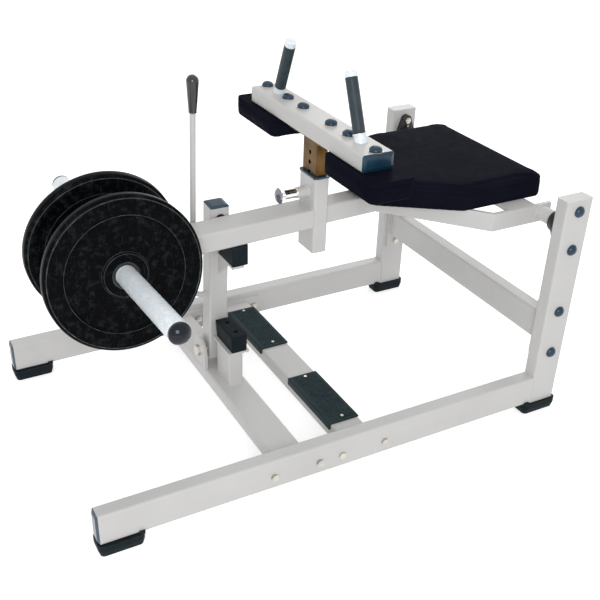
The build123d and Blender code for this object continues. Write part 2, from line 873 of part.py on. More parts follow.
# Yoke of the lever: flat bars, their slanting braces and the plate under the seat
yoke_bottom = pivot_height - yoke_bar_height / 2
yoke_rear = frame_front + yoke_rear_distance
yoke_bend = frame_front + yoke_bend_distance
yoke_turn = math.radians(yoke_turn_angle)
mitre = yoke_bar_thickness / 2 * math.tan(yoke_turn / 2)
brace_end_y = rear_arm_width / 2
brace_outer_end_x = yoke_bend - mitre - (yoke_outer_y - brace_end_y) / math.tan(yoke_turn)
brace_inner_end_x = yoke_bend + mitre - (yoke_inner_y - brace_end_y) / math.tan(yoke_turn)
for side, word in ((-1, "near"), (1, "far")):
    with BuildPart() as yoke_bar:
        with BuildSketch(Plane.XY.offset(yoke_bottom)):
            Polygon(
                (yoke_rear, side * yoke_outer_y),
                (yoke_bend - mitre, side * yoke_outer_y),
                (yoke_bend + mitre, side * yoke_inner_y),
                (yoke_rear, side * yoke_inner_y),
                align=None,
            )
        extrude(amount=yoke_bar_height)
    save(yoke_bar, f"{word}_yoke_bar")

    with BuildPart() as yoke_brace:
        with BuildSketch(Plane.XY.offset(yoke_bottom)):
            Polygon(
                (yoke_bend - mitre, side * yoke_outer_y),
                (yoke_bend + mitre, side * yoke_inner_y),
                (brace_inner_end_x, side * brace_end_y),
                (brace_outer_end_x, side * brace_end_y),
                align=None,
            )
        extrude(amount=yoke_bar_height)
    save(yoke_brace, f"{word}_yoke_brace")

yoke_plate_front = frame_front + yoke_plate_front_distance
yoke_plate_x = yoke_plate_front + yoke_plate_width / 2
seat_bolt_hole = seat_bolt_radius + bolt_hole_clearance
seat_bolt_places = [
    (yoke_plate_x, sign * y) for sign in (-1, 1) for y in (seat_bolt_inner_y, seat_bolt_outer_y)
]
with BuildPart() as yoke_cross_plate:
    with BuildSketch(Plane.XY.offset(seat_bottom_height - yoke_plate_thickness)):
        with Locations((yoke_plate_x, 0)):
            Rectangle(yoke_plate_width, 2 * yoke_inner_y)
        with Locations(*seat_bolt_places):
            Circle(seat_bolt_hole, mode=Mode.SUBTRACT)
    extrude(amount=yoke_plate_thickness)
save(yoke_cross_plate, "yoke_cross_plate")


# Lever arm in front of and behind the adjuster tube
def arm_length(start, end, width, closed_at_start):
    """Hollow arm between two upright faces, with its top on the arm's line and one end closed."""
    wall_start = start + (tube_wall if closed_at_start else 0)
    wall_end = end - (0 if closed_at_start else tube_wall)
    with BuildPart() as result:
        with BuildSketch(Plane.XZ.offset(-width / 2)):
            Polygon(
                (start, arm_top_height(start)),
                (end, arm_top_height(end)),
                (end, arm_top_height(end) - arm_height),
                (start, arm_top_height(start) - arm_height),
                align=None,
            )
        extrude(amount=width)
        long_edges = result.edges().filter_by(
            lambda edge: edge.length > (end - start) * 0.9
        )
        fillet(long_edges, tube_corner)
        with BuildSketch(Plane.XZ.offset(-width / 2 + tube_wall)):
            Polygon(
                (wall_start, arm_top_height(wall_start) - tube_wall),
                (wall_end, arm_top_height(wall_end) - tube_wall),
                (wall_end, arm_top_height(wall_end) - arm_height + tube_wall),
                (wall_start, arm_top_height(wall_start) - arm_height + tube_wall),
                align=None,
            )
        extrude(amount=width - 2 * tube_wall, mode=Mode.SUBTRACT)
    return result


main_arm = arm_length(frame_front + arm_front_distance, adjuster_front, front_arm_width, True)
save(main_arm, "main_arm")
rear_arm = arm_length(adjuster_rear, yoke_plate_front, rear_arm_width, False)
save(rear_arm, "rear_arm")


# Adjuster tube, its collar and liner, and the pull pin's housing
pin_bore = pin_radius + pin_running_clearance
boss_front = adjuster_front - pin_boss_length
body_front = boss_front - pin_body_length
chamber_start = body_front + pin_body_wall
inner_post_front = adjuster_x - inner_post_depth / 2
with BuildPart() as adjuster_tube:
    add(
        tube(
            Plane(origin=(adjuster_x, 0, adjuster_bottom_height)),
            adjuster_top_height - adjuster_bottom_height,
            tube_short,
            tube_long,
        )
    )
    add(rod_along("X", pin_chamber_radius, (adjuster_front, 0, pin_height), tube_wall), mode=Mode.SUBTRACT)
save(adjuster_tube, "adjuster_tube")

with BuildPart() as adjuster_collar:
    with BuildSketch(Plane(origin=(adjuster_x, 0, adjuster_bottom_height))):
        RectangleRounded(tube_short - 2 * tube_wall, tube_long - 2 * tube_wall, inner_corner)
    extrude(amount=adjuster_top_height - adjuster_bottom_height)
    with BuildSketch(Plane(origin=(adjuster_x, 0, adjuster_top_height))):
        RectangleRounded(
            tube_short + 2 * collar_overhang, tube_long + 2 * collar_overhang,
            tube_corner + collar_overhang,
        )
    extrude(amount=collar_height)
    with BuildSketch(Plane(origin=(adjuster_x, 0, adjuster_bottom_height))):
        RectangleRounded(
            inner_post_depth + 2 * post_clearance, inner_post_width + 2 * post_clearance,
            inner_post_corner + post_clearance,
        )
    extrude(
        amount=adjuster_top_height - adjuster_bottom_height + collar_height, mode=Mode.SUBTRACT
    )
    add(
        rod_along("X", pin_hole_radius, (adjuster_front, 0, pin_height), tube_short / 2),
        mode=Mode.SUBTRACT,
    )
save(adjuster_collar, "adjuster_collar")

with BuildPart() as pull_pin_housing:
    with BuildSketch(Plane(origin=(boss_front, 0, pin_height), z_dir=(1, 0, 0))):
        Circle(pin_boss_radius)
    extrude(amount=pin_boss_length)
    with BuildSketch(Plane(origin=(body_front, 0, pin_height), z_dir=(1, 0, 0))):
        Circle(pin_body_radius)
    extrude(amount=pin_body_length)
    add(
        rod_along("X", pin_bore, (body_front, 0, pin_height), pin_body_wall), mode=Mode.SUBTRACT
    )
    add(
        rod_along("X", pin_chamber_radius, (chamber_start, 0, pin_height), adjuster_front - chamber_start),
        mode=Mode.SUBTRACT,
    )
save(pull_pin_housing, "pull_pin_housing")

# Pull pin: its collar presses the spring against the housing's front wall
pin_tip = inner_post_front - pin_tip_gap
knob_rear = body_front - pin_neck_length
knob_front = knob_rear - pin_knob_length
knob_rim = knob_rear - pin_knob_rim
pin_collar_end = adjuster_front
pin_collar_start = pin_collar_end - pin_collar_length
pin_axis = Axis((0, 0, pin_height), (1, 0, 0))
pin_plane = Plane(origin=(0, 0, pin_height), x_dir=(1, 0, 0), z_dir=(0, -1, 0))
pin_collar_radius = pin_chamber_radius - pin_collar_clearance
with BuildPart() as pull_pin:
    add(
        turned(
            [
                (knob_rear, 0),
                (knob_rear, pin_radius),
                (pin_collar_start, pin_radius),
                (pin_collar_start, pin_collar_radius),
                (pin_collar_end, pin_collar_radius),
                (pin_collar_end, pin_radius),
                (pin_tip, pin_radius),
                (pin_tip, 0),
            ],
            pin_plane,
            pin_axis,
        )
    )
save(pull_pin, "pull_pin")

with BuildPart() as pull_pin_knob:
    with BuildSketch(pin_plane):
        with BuildLine():
            Polyline(
                (knob_front, 0),
                (knob_rear, 0),
                (knob_rear, pin_knob_neck_radius),
                (knob_rim, pin_knob_radius),
            )
            dome(knob_rim, pin_knob_radius, knob_front)
        make_face()
    revolve(axis=pin_axis)
save(pull_pin_knob, "pull_pin_knob")

with BuildPart() as pull_pin_spring:
    with BuildSketch(Plane(origin=(chamber_start, 0, pin_height), z_dir=(1, 0, 0))):
        Circle(pin_radius + spring_bore_clearance + spring_wall)
        Circle(pin_radius + spring_bore_clearance, mode=Mode.SUBTRACT)
    extrude(amount=pin_collar_start - chamber_start)
save(pull_pin_spring, "pull_pin_spring")


# Inner post with its row of holes and the head plate welded on top
post_top = thigh_bar_bottom_height - head_plate_thickness
thigh_bolt_hole = thigh_bolt_radius + bolt_hole_clearance
with BuildPart() as inner_post:
    with BuildSketch(Plane(origin=(adjuster_x, 0, inner_post_bottom_height))):
        RectangleRounded(inner_post_depth, inner_post_width, inner_post_corner)
        Rectangle(
            inner_post_depth - 2 * tube_wall, inner_post_width - 2 * tube_wall, mode=Mode.SUBTRACT
        )
    extrude(amount=post_top - inner_post_bottom_height)
    for step in range(-pin_holes_below, pin_holes_above + 1):
        start = (inner_post_front - tube_wall, 0, pin_height + step * pin_pitch)
        add(rod_along("X", pin_hole_radius, start, 3 * tube_wall), mode=Mode.SUBTRACT)
    with BuildSketch(Plane(origin=(adjuster_x, 0, post_top))):
        RectangleRounded(head_plate_depth, head_plate_length, tube_corner)
        with Locations((0, head_plate_bolt_y), (0, -head_plate_bolt_y)):
            Circle(thigh_bolt_hole, mode=Mode.SUBTRACT)
    extrude(amount=head_plate_thickness)
save(inner_post, "inner_post")

# Thigh bar, its end caps and its dome-headed bolts
thigh_bar_top = thigh_bar_bottom_height + tube_short
thigh_bolt_ys = [
    sign * y for sign in (-1, 1) for y in (head_plate_bolt_y, pad_inner_bolt_y, pad_outer_bolt_y)
]
thigh_bar_plane = Plane(
    origin=(adjuster_x, -thigh_bar_half_length, thigh_bar_bottom_height + tube_short / 2),
    x_dir=(1, 0, 0),
    z_dir=(0, 1, 0),
)
with BuildPart() as thigh_bar:
    add(tube(thigh_bar_plane, 2 * thigh_bar_half_length, tube_long, tube_short))
    for y in thigh_bolt_ys:
        start = (adjuster_x, y, thigh_bar_bottom_height - 1)
        add(rod_along("Z", thigh_bolt_hole, start, tube_short + 2), mode=Mode.SUBTRACT)
save(thigh_bar, "thigh_bar")

with BuildPart() as bar_end_caps:
    for side in (-1, 1):
        cap_plane = Plane(
            origin=(adjuster_x, side * thigh_bar_half_length, thigh_bar_bottom_height + tube_short / 2),
            x_dir=(1, 0, 0),
            z_dir=(0, side, 0),
        )
        add(tube_cap(cap_plane, tube_long, tube_short, tube_corner, tube_wall, bar_cap_plug_length))
save(bar_end_caps, "bar_end_caps")

board_top = thigh_bar_bottom_height
with BuildPart() as thigh_bar_bolts:
    for y in thigh_bolt_ys:
        shank_bottom = post_top if abs(y) == head_plate_bolt_y else board_top - board_thickness
        bolt_plane = Plane(origin=(adjuster_x, y, thigh_bar_top), x_dir=(0, 0, 1), z_dir=(0, -1, 0))
        with BuildSketch(bolt_plane):
            with BuildLine():
                Polyline(
                    (thigh_bolt_head_height, 0),
                    (shank_bottom - thigh_bar_top, 0),
                    (shank_bottom - thigh_bar_top, thigh_bolt_radius),
                    (0, thigh_bolt_radius),
                    (0, thigh_bolt_head_radius),
                    (thigh_bolt_rim, thigh_bolt_head_radius),
                )
                dome(thigh_bolt_rim, thigh_bolt_head_radius, thigh_bolt_head_height)
            make_face()
        revolve(axis=Axis((adjuster_x, y, 0), (0, 0, 1)))
save(thigh_bar_bolts, "thigh_bar_bolts")


# Cushions: flat at the board, drawn in at the bottom edge, and crowned on the other side
def cushion_sections(height):
    """Distance from the flat side and inset from the full outline, for each section."""
    return [
        (0, 6),
        (height * 0.09, 2),
        (height * 0.40, 0),
        (height * 0.78, 0.6),
        (height * 0.88, 3),
        (height * 0.94, 10),
        (height * 0.98, 26),
        (height, 48),
    ]


pad_x = frame_front + pad_front_distance + pad_width / 2
pad_y = pad_inner_y + pad_length / 2
with BuildPart() as thigh_pad_boards:
    for side in (-1, 1):
        with BuildSketch(Plane(origin=(pad_x, side * pad_y, board_top - board_thickness))):
            RectangleRounded(
                pad_width - 2 * board_inset, pad_length - 2 * board_inset, pad_corner - board_inset
            )
            for y in (pad_inner_bolt_y, pad_outer_bolt_y):
                with Locations((adjuster_x - pad_x, side * (y - pad_y))):
                    Circle(thigh_bolt_hole, mode=Mode.SUBTRACT)
        extrude(amount=board_thickness)
save(thigh_pad_boards, "thigh_pad_boards")

for side, word in ((-1, "near"), (1, "far")):
    with BuildPart() as thigh_pad:
        for depth, inset in cushion_sections(pad_height):
            with BuildSketch(Plane(origin=(pad_x, side * pad_y, board_top - depth))):
                RectangleRounded(
                    pad_width - 2 * inset, pad_length - 2 * inset, max(pad_corner - inset, 6)
                )
        loft(ruled=True)
        with BuildSketch(Plane(origin=(pad_x, side * pad_y, board_top - board_thickness))):
            RectangleRounded(
                pad_width - 2 * board_inset, pad_length - 2 * board_inset, pad_corner - board_inset
            )
        extrude(amount=board_thickness, mode=Mode.SUBTRACT)
    save(thigh_pad, f"{word}_thigh_pad")


# Handles that lean towards the middle
handle_lean = math.radians(handle_lean_angle)
core_start = handle_stub_length + handle_ring_length
grip_end = core_start + handle_grip_length
handle_end = grip_end + handle_end_length
with BuildPart() as handle_stems:
    for side in (-1, 1):
        up = (0, -side * math.sin(handle_lean), math.cos(handle_lean))
        across = (0, side * math.cos(handle_lean), math.sin(handle_lean))
        base = (adjuster_x, side * handle_y, thigh_bar_top)
        stem_plane = Plane(origin=base, x_dir=up, z_dir=(side, 0, 0))
        with BuildSketch(stem_plane):
            Polygon(
                (-handle_stub_radius, 0),
                (-handle_stub_radius, handle_stub_radius),
                (handle_stub_length, handle_stub_radius),
                (handle_stub_length, handle_ring_radius),
                (core_start, handle_ring_radius),
                (core_start, handle_core_radius),
                (grip_end, handle_core_radius),
                (grip_end, handle_stub_radius),
                (handle_end - 2, handle_stub_radius),
                (handle_end, handle_stub_radius - 3),
                (handle_end, 0),
                align=None,
            )
        revolve(axis=Axis(base, up))
    with BuildSketch(Plane.XY.offset(thigh_bar_top - 2 * handle_stub_radius)):
        with Locations((adjuster_x, 0)):
            Rectangle(tube_long, 2 * thigh_bar_half_length)
    extrude(amount=2 * handle_stub_radius, mode=Mode.SUBTRACT)
save(handle_stems, "handle_stems")

with BuildPart() as handle_grips:
    for side in (-1, 1):
        up = (0, -side * math.sin(handle_lean), math.cos(handle_lean))
        base = Vector(adjuster_x, side * handle_y, thigh_bar_top)
        grip_plane = Plane(origin=base + Vector(*up) * core_start, x_dir=(1, 0, 0), z_dir=up)
        with BuildSketch(grip_plane):
            Circle(handle_grip_radius)
            Circle(handle_core_radius, mode=Mode.SUBTRACT)
        extrude(amount=handle_grip_length)
save(handle_grips, "handle_grips")


# Seat: board, cushion and the bolts from under the yoke's plate
seat_rear = frame_front + seat_rear_distance
seat_taper = frame_front + seat_taper_distance
seat_front = frame_front + seat_front_distance
seat_outline = [
    (seat_rear, -seat_half_width),
    (seat_rear, seat_half_width),
    (seat_taper, seat_half_width),
    (seat_front, seat_front_half_width),
    (seat_front, -seat_front_half_width),
    (seat_taper, -seat_half_width),
]


def seat_section(height, inset):
    """Seat outline drawn in by an inset, with rounded corners, at a height."""
    with BuildSketch(Plane.XY.offset(height)) as section:
        Polygon(*seat_outline, align=None)
        if inset > 0:
            offset(amount=-inset, kind=Kind.INTERSECTION, mode=Mode.REPLACE)
        fillet(section.vertices(), max(seat_corner - inset, 8))
    return section.sketch


with BuildPart() as seat_board:
    add(seat_section(seat_bottom_height, board_inset))
    extrude(amount=board_thickness)
    with Locations(*[(x, y, seat_bottom_height + board_thickness) for x, y in seat_bolt_places]):
        Hole(seat_bolt_radius, depth=board_thickness)
save(seat_board, "seat_board")

with BuildPart() as seat_cushion:
    for depth, inset in cushion_sections(seat_height):
        add(seat_section(seat_bottom_height + depth, inset))
    loft(ruled=True)
    add(seat_section(seat_bottom_height, board_inset))
    extrude(amount=board_thickness, mode=Mode.SUBTRACT)
save(seat_cushion, "seat_cushion")

bolt_head_top = seat_bottom_height - yoke_plate_thickness
with BuildPart() as seat_bolts:
    for x, y in seat_bolt_places:
        head_plane = Plane(origin=(x, y, bolt_head_top), z_dir=(0, 0, -1))
        add(hex_prism(seat_bolt_radius, head_plane, seat_bolt_head_height))
        with BuildSketch(head_plane):
            Circle(seat_bolt_radius)
        extrude(amount=-(yoke_plate_thickness + board_thickness - 1))
save(seat_bolts, "seat_bolts")


# Weight sleeves: everything on them is turned about the rising sleeve axis
sleeve_x = frame_front + sleeve_distance
sleeve_rise = math.radians(sleeve_rise_angle)
sleeve_origin = (sleeve_x, 0, sleeve_centre_height)


def sleeve_direction(side):
    """Direction in which a sleeve points away from the lever arm."""
    return (0, side * math.cos(sleeve_rise), math.sin(sleeve_rise))


def turned_on_sleeve(profile, side):
    """Turn a profile of (distance along the sleeve, radius) points about the sleeve."""
    plane = Plane(origin=sleeve_origin, x_dir=sleeve_direction(side), z_dir=(side, 0, 0))
    return turned(profile, plane, Axis(sleeve_origin, sleeve_direction(side)))


sleeve_bore = sleeve_radius - sleeve_wall
cap_start = sleeve_end - sleeve_cap_length
sleeve_cap_radius = sleeve_radius - sleeve_cap_step
stop_flange_end = stop_flange_start + stop_flange_thickness
stop_flange_bore = sleeve_radius + stop_flange_weld_gap
plate_start = stop_flange_end + rest_gap
plate_end = plate_start + plate_thickness
groove_start = plate_end + sleeve_groove_gap
groove_end = groove_start + sleeve_groove_width
groove_radius = sleeve_radius - sleeve_groove_depth
for side, word in ((-1, "near"), (1, "far")):
    with BuildPart() as weight_sleeve:
        add(
            turned_on_sleeve(
                [
                    (0, sleeve_bore),
                    (0, sleeve_radius),
                    (groove_start, sleeve_radius),
                    (groove_start, groove_radius),
                    (groove_end, groove_radius),
                    (groove_end, sleeve_radius),
                    (cap_start, sleeve_radius),
                    (cap_start, sleeve_bore),
                ],
                side,
            )
        )
        add(
            turned_on_sleeve(
                [
                    (stop_flange_start, stop_flange_bore),
                    (stop_flange_start, stop_flange_radius),
                    (stop_flange_end, stop_flange_radius),
                    (stop_flange_end, stop_flange_bore),
                ],
                side,
            )
        )
        with BuildSketch(Plane.XY.offset(arm_top_height(sleeve_x) - 2 * arm_height)):
            with Locations((sleeve_x, 0)):
                Rectangle(2 * tube_long, front_arm_width)
        extrude(amount=3 * arm_height, mode=Mode.SUBTRACT)
    save(weight_sleeve, f"{word}_weight_sleeve")

with BuildPart() as sleeve_end_caps:
    for side in (-1, 1):
        sleeve_plane = Plane(
            origin=sleeve_origin, x_dir=sleeve_direction(side), z_dir=(side, 0, 0)
        )
        with BuildSketch(sleeve_plane):
            with BuildLine():
                Polyline(
                    (sleeve_end, 0),
                    (cap_start - sleeve_cap_plug_length, 0),
                    (cap_start - sleeve_cap_plug_length, sleeve_bore),
                    (cap_start, sleeve_bore),
                    (cap_start, sleeve_cap_radius),
                    (cap_start + sleeve_cap_rim, sleeve_cap_radius),
                )
                dome(cap_start + sleeve_cap_rim, sleeve_cap_radius, sleeve_end)
            make_face()
        revolve(axis=Axis(sleeve_origin, sleeve_direction(side)))
save(sleeve_end_caps, "sleeve_end_caps")

plate_bore = sleeve_radius + plate_bore_clearance
web_start = plate_start + plate_web_recess
web_end = plate_end - plate_web_recess
rim_slope = plate_web_recess
for side, word in ((-1, "near"), (1, "far")):
    with BuildPart() as weight_plate:
        add(
            turned_on_sleeve(
                [
                    (plate_start, plate_bore),
                    (plate_start, plate_hub_radius),
                    (web_start, plate_hub_radius + rim_slope),
                    (web_start, plate_rim_inner_radius - rim_slope),
                    (plate_start, plate_rim_inner_radius),
                    (plate_start, plate_radius - plate_edge),
                    (plate_start + plate_edge, plate_radius),
                    (plate_end - plate_edge, plate_radius),
                    (plate_end, plate_radius - plate_edge),
                    (plate_end, plate_rim_inner_radius),
                    (web_end, plate_rim_inner_radius - rim_slope),
                    (web_end, plate_hub_radius + rim_slope),
                    (plate_end, plate_hub_radius),
                    (plate_end, plate_bore),
                ],
                side,
            )
        )
    save(weight_plate, f"{word}_weight_plate")
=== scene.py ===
import json
import math

import bmesh
import bpy
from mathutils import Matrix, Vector

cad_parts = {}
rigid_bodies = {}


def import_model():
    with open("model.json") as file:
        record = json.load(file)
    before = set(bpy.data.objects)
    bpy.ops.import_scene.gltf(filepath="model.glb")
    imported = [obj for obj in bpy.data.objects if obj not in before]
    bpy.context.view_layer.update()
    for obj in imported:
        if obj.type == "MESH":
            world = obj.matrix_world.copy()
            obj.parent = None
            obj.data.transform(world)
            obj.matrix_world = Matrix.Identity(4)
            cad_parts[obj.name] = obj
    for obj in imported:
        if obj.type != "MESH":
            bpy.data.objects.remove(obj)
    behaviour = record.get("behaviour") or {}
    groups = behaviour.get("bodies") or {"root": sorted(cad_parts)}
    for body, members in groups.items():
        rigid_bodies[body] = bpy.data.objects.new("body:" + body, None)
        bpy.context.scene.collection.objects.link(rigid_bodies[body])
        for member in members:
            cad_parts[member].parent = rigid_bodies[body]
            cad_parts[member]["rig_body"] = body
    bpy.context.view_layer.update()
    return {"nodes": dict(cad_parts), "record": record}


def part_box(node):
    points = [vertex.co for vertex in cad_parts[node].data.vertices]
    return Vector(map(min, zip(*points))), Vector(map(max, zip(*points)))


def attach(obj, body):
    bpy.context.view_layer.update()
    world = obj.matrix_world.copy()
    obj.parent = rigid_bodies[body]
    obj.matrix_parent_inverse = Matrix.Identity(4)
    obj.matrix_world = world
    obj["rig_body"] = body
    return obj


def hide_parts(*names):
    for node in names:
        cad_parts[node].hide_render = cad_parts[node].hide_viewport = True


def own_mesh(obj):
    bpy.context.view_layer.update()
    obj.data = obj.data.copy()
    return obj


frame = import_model()
bpy.ops.object.select_all(action="DESELECT")

# Sizes in metres, as on the frame: +X to the rear, +Y to the far side, +Z up
PIVOT = Vector((0.590, 0.0, 0.528))
SLEEVE_ORIGIN = Vector((-0.4362, 0.0, 0.489))
SLEEVE_RISE = math.radians(4.76)
SLEEVE_RADIUS = 0.02415
STOP_FLANGE_START = 0.056
PLATE_START = 0.0643
PLATE_THICKNESS = 0.030
PLATE_BORE = 0.0245
CROSS_TOP = 0.084
BAR_TOP = 0.761
ADJUSTER_X = 0.085
HANDLE_Y = 0.197
PIN_BOSS = Vector((0.0339, 0.0, 0.574))
BAR_BOLTS = (-0.259, -0.146, -0.067, 0.067, 0.146, 0.259)
FLANGE_FACE = 0.342
PLATE_SLACK = 0.00005
PAD_LIP = 0.005
PAD_SHEET = 0.0052
PAD_BORDER = 0.0075
PAD_SCREW_X = 0.027
PAD_SCREW_INSET = 0.015
PAD_SCREW_ROOM = 0.0075
STUD_PITCH = 0.0052
SPRING_WIRE = 0.0006
SPRING_TURNS = 12
HANDLE_LEAN = math.radians(22.7)

# Strengths of the sky on the machine and of the floor's own white
SKY_LIGHT = 0.70
FLOOR_GLOW = 0.55
LAMP_AIM = Vector((0, 0, 0.4))


# ---- Camera and lamps

camera_data = bpy.data.cameras.new("Camera")
camera_data.lens = 54.655
camera_data.sensor_width = 36.0
camera_data.shift_x = 0.01043
camera_data.shift_y = 0.04505
camera_data.clip_start = 0.05
camera = bpy.data.objects.new("Camera", camera_data)
bpy.context.scene.collection.objects.link(camera)
camera.location = (-0.96525, -1.81885, 1.45326)
camera.rotation_euler = [math.radians(a) for a in (58.650, -1.506, -28.013)]
bpy.context.scene.camera = camera
bpy.context.scene.view_settings.view_transform = "Standard"


def soft_lamp(name, place, size, power):
    """Square area lamp that points at the middle of the machine."""
    lamp_data = bpy.data.lights.new(name, "AREA")
    lamp_data.shape = "SQUARE"
    lamp_data.size = size
    lamp_data.energy = power
    lamp = bpy.data.objects.new(name, lamp_data)
    bpy.context.scene.collection.objects.link(lamp)
    lamp.location = place
    lamp.rotation_euler = (LAMP_AIM - Vector(place)).to_track_quat("-Z", "Y").to_euler()


soft_lamp("Key_lamp", (-1.5, -3.0, 1.9), 1.4, 44)
soft_lamp("Top_lamp", (0.2, 0.2, 3.3), 2.0, 4)
soft_lamp("Far_lamp", (2.1, 2.0, 1.9), 1.6, 14)


# ---- Node helpers

def shader(name):
    """New material with its Principled shader, node list and link maker."""
    material = bpy.data.materials.new(name)
    material.use_nodes = True
    nodes = material.node_tree.nodes
    return material, nodes["Principled BSDF"], nodes, material.node_tree.links


def object_place(nodes, links, scale=(1, 1, 1), turn=(0, 0, 0)):
    """Object coordinates through a mapping."""
    coordinates = nodes.new("ShaderNodeTexCoord")
    mapping = nodes.new("ShaderNodeMapping")
    mapping.inputs["Scale"].default_value = scale
    mapping.inputs["Rotation"].default_value = turn
    links.new(coordinates.outputs["Object"], mapping.inputs["Vector"])
    return mapping.outputs["Vector"]


def noise(nodes, links, place, scale, detail=2.0, roughness=0.5):
    texture = nodes.new("ShaderNodeTexNoise")
    texture.inputs["Scale"].default_value = scale
    texture.inputs["Detail"].default_value = detail
    texture.inputs["Roughness"].default_value = roughness
    links.new(place, texture.inputs["Vector"])
    return texture.outputs["Fac"]


def span(nodes, links, value, from_low, from_high, to_low, to_high):
    """Map a value from one range to another, held at the ends."""
    ranged = nodes.new("ShaderNodeMapRange")
    ranged.inputs["From Min"].default_value = from_low
    ranged.inputs["From Max"].default_value = from_high
    ranged.inputs["To Min"].default_value = to_low
    ranged.inputs["To Max"].default_value = to_high
    links.new(value, ranged.inputs["Value"])
    return ranged.outputs["Result"]


def blend_colour(nodes, links, mask, low, high):
    """Mix two colours by a mask; either may be a plain colour or a socket."""
    mix = nodes.new("ShaderNodeMix")
    mix.data_type = "RGBA"
    links.new(mask, mix.inputs["Factor"])
    for socket, colour in ((mix.inputs[6], low), (mix.inputs[7], high)):
        if isinstance(colour, bpy.types.NodeSocket):
            links.new(colour, socket)
        else:
            socket.default_value = (*colour, 1)
    return mix.outputs[2]


def maths(nodes, links, operation, first, second):
    node = nodes.new("ShaderNodeMath")
    node.operation = operation
    node.use_clamp = True
    for socket, value in zip(node.inputs, (first, second)):
        if isinstance(value, bpy.types.NodeSocket):
            links.new(value, socket)
        else:
            socket.default_value = value
    return node.outputs[0]


def bump(nodes, links, height, strength, distance):
    node = nodes.new("ShaderNodeBump")
    node.inputs["Strength"].default_value = strength
    node.inputs["Distance"].default_value = distance
    links.new(height, node.inputs["Height"])
    return node.outputs["Normal"]


def new_group(name, numbers, outputs):
    """Empty node group with named number inputs and named outputs."""
    group = bpy.data.node_groups.new(name, "ShaderNodeTree")
    for label, value in numbers:
        socket = group.interface.new_socket(label, in_out="INPUT", socket_type="NodeSocketFloat")
        socket.default_value = value
    for label in outputs:
        group.interface.new_socket(label, in_out="OUTPUT", socket_type="NodeSocketFloat")
    given = group.nodes.new("NodeGroupInput")
    made = group.nodes.new("NodeGroupOutput")
    return group, given, made


# Edge masks for worn edges and for painted edge highlights: where the rounded normal leaves the
# face's own normal; the Mask output is broken up by noise, the Edge output is not
edge_wear_and_highlight, given, made = new_group(
    "Edge_wear_and_highlight", [("Width", 0.002), ("Breakup", 60.0)], ["Mask", "Edge"]
)
rounded = edge_wear_and_highlight.nodes.new("ShaderNodeBevel")
rounded.samples = 6
edge_wear_and_highlight.links.new(given.outputs["Width"], rounded.inputs["Radius"])
flat = edge_wear_and_highlight.nodes.new("ShaderNodeNewGeometry")
facing = edge_wear_and_highlight.nodes.new("ShaderNodeVectorMath")
facing.operation = "DOT_PRODUCT"
edge_wear_and_highlight.links.new(rounded.outputs["Normal"], facing.inputs[0])
edge_wear_and_highlight.links.new(flat.outputs["Normal"], facing.inputs[1])
edge = span(edge_wear_and_highlight.nodes, edge_wear_and_highlight.links, facing.outputs["Value"], 0.99, 0.86, 0.0, 1.0)
edge_wear_and_highlight.links.new(edge, made.inputs["Edge"])
place = object_place(edge_wear_and_highlight.nodes, edge_wear_and_highlight.links)
flecks = edge_wear_and_highlight.nodes.new("ShaderNodeTexNoise")
flecks.inputs["Detail"].default_value = 3
edge_wear_and_highlight.links.new(place, flecks.inputs["Vector"])
edge_wear_and_highlight.links.new(given.outputs["Breakup"], flecks.inputs["Scale"])
broken = span(edge_wear_and_highlight.nodes, edge_wear_and_highlight.links, flecks.outputs["Fac"], 0.38, 0.62, 0.0, 1.0)
edge_wear_and_highlight.links.new(
    maths(edge_wear_and_highlight.nodes, edge_wear_and_highlight.links, "MULTIPLY", edge, broken), made.inputs["Mask"]
)

# Fine grain and broad unevenness, both from noise on the object's own place
grain_group, given, made = new_group(
    "Grain", [("Fine_scale", 900.0), ("Broad_scale", 9.0)], ["Fine", "Broad"]
)
place = object_place(grain_group.nodes, grain_group.links)
for label, detail in (("Fine", 1.0), ("Broad", 4.0)):
    texture = grain_group.nodes.new("ShaderNodeTexNoise")
    texture.inputs["Detail"].default_value = detail
    grain_group.links.new(place, texture.inputs["Vector"])
    grain_group.links.new(given.outputs[label + "_scale"], texture.inputs["Scale"])
    grain_group.links.new(texture.outputs["Fac"], made.inputs[label])


def use_group(nodes, group, **numbers):
    node = nodes.new("ShaderNodeGroup")
    node.node_tree = group
    for label, value in numbers.items():
        node.inputs[label].default_value = value
    return node.outputs


def surface(name, low, high, rough, metallic=0.0, fine=900.0, broad=9.0, depth=0.00005,
            coat=0.0, shine=0.4, wear_and_highlight_colour=None, width=0.0015, breakup=60.0, amount=1.0):
    """Finish with broad colour change, grain in bump and roughness, and an edge colour that is
    rubbed wear and on some finishes also a painted edge highlight.
    """
    material, principled, nodes, links = shader(name)
    grain = use_group(nodes, grain_group, Fine_scale=fine, Broad_scale=broad)
    patches = span(nodes, links, grain["Broad"], 0.3, 0.7, 0.0, 1.0)
    colour = blend_colour(nodes, links, patches, low, high)
    roughness = span(nodes, links, grain["Broad"], 0.3, 0.7, rough[0], rough[1])
    # Edge colour: rubbed wear, and on some finishes also a painted highlight along the edges
    if wear_and_highlight_colour:
        wear_and_highlight_mask = use_group(nodes, edge_wear_and_highlight, Width=width, Breakup=breakup)["Mask"]
        wear_and_highlight_mask = maths(nodes, links, "MULTIPLY", wear_and_highlight_mask, amount)
        colour = blend_colour(nodes, links, wear_and_highlight_mask, colour, wear_and_highlight_colour)
    links.new(colour, principled.inputs["Base Color"])
    links.new(roughness, principled.inputs["Roughness"])
    links.new(bump(nodes, links, grain["Fine"], 0.5, depth), principled.inputs["Normal"])
    principled.inputs["Metallic"].default_value = metallic
    principled.inputs["Coat Weight"].default_value = coat
    principled.inputs["Coat Roughness"].default_value = 0.2
    principled.inputs["Specular IOR Level"].default_value = shine
    return material


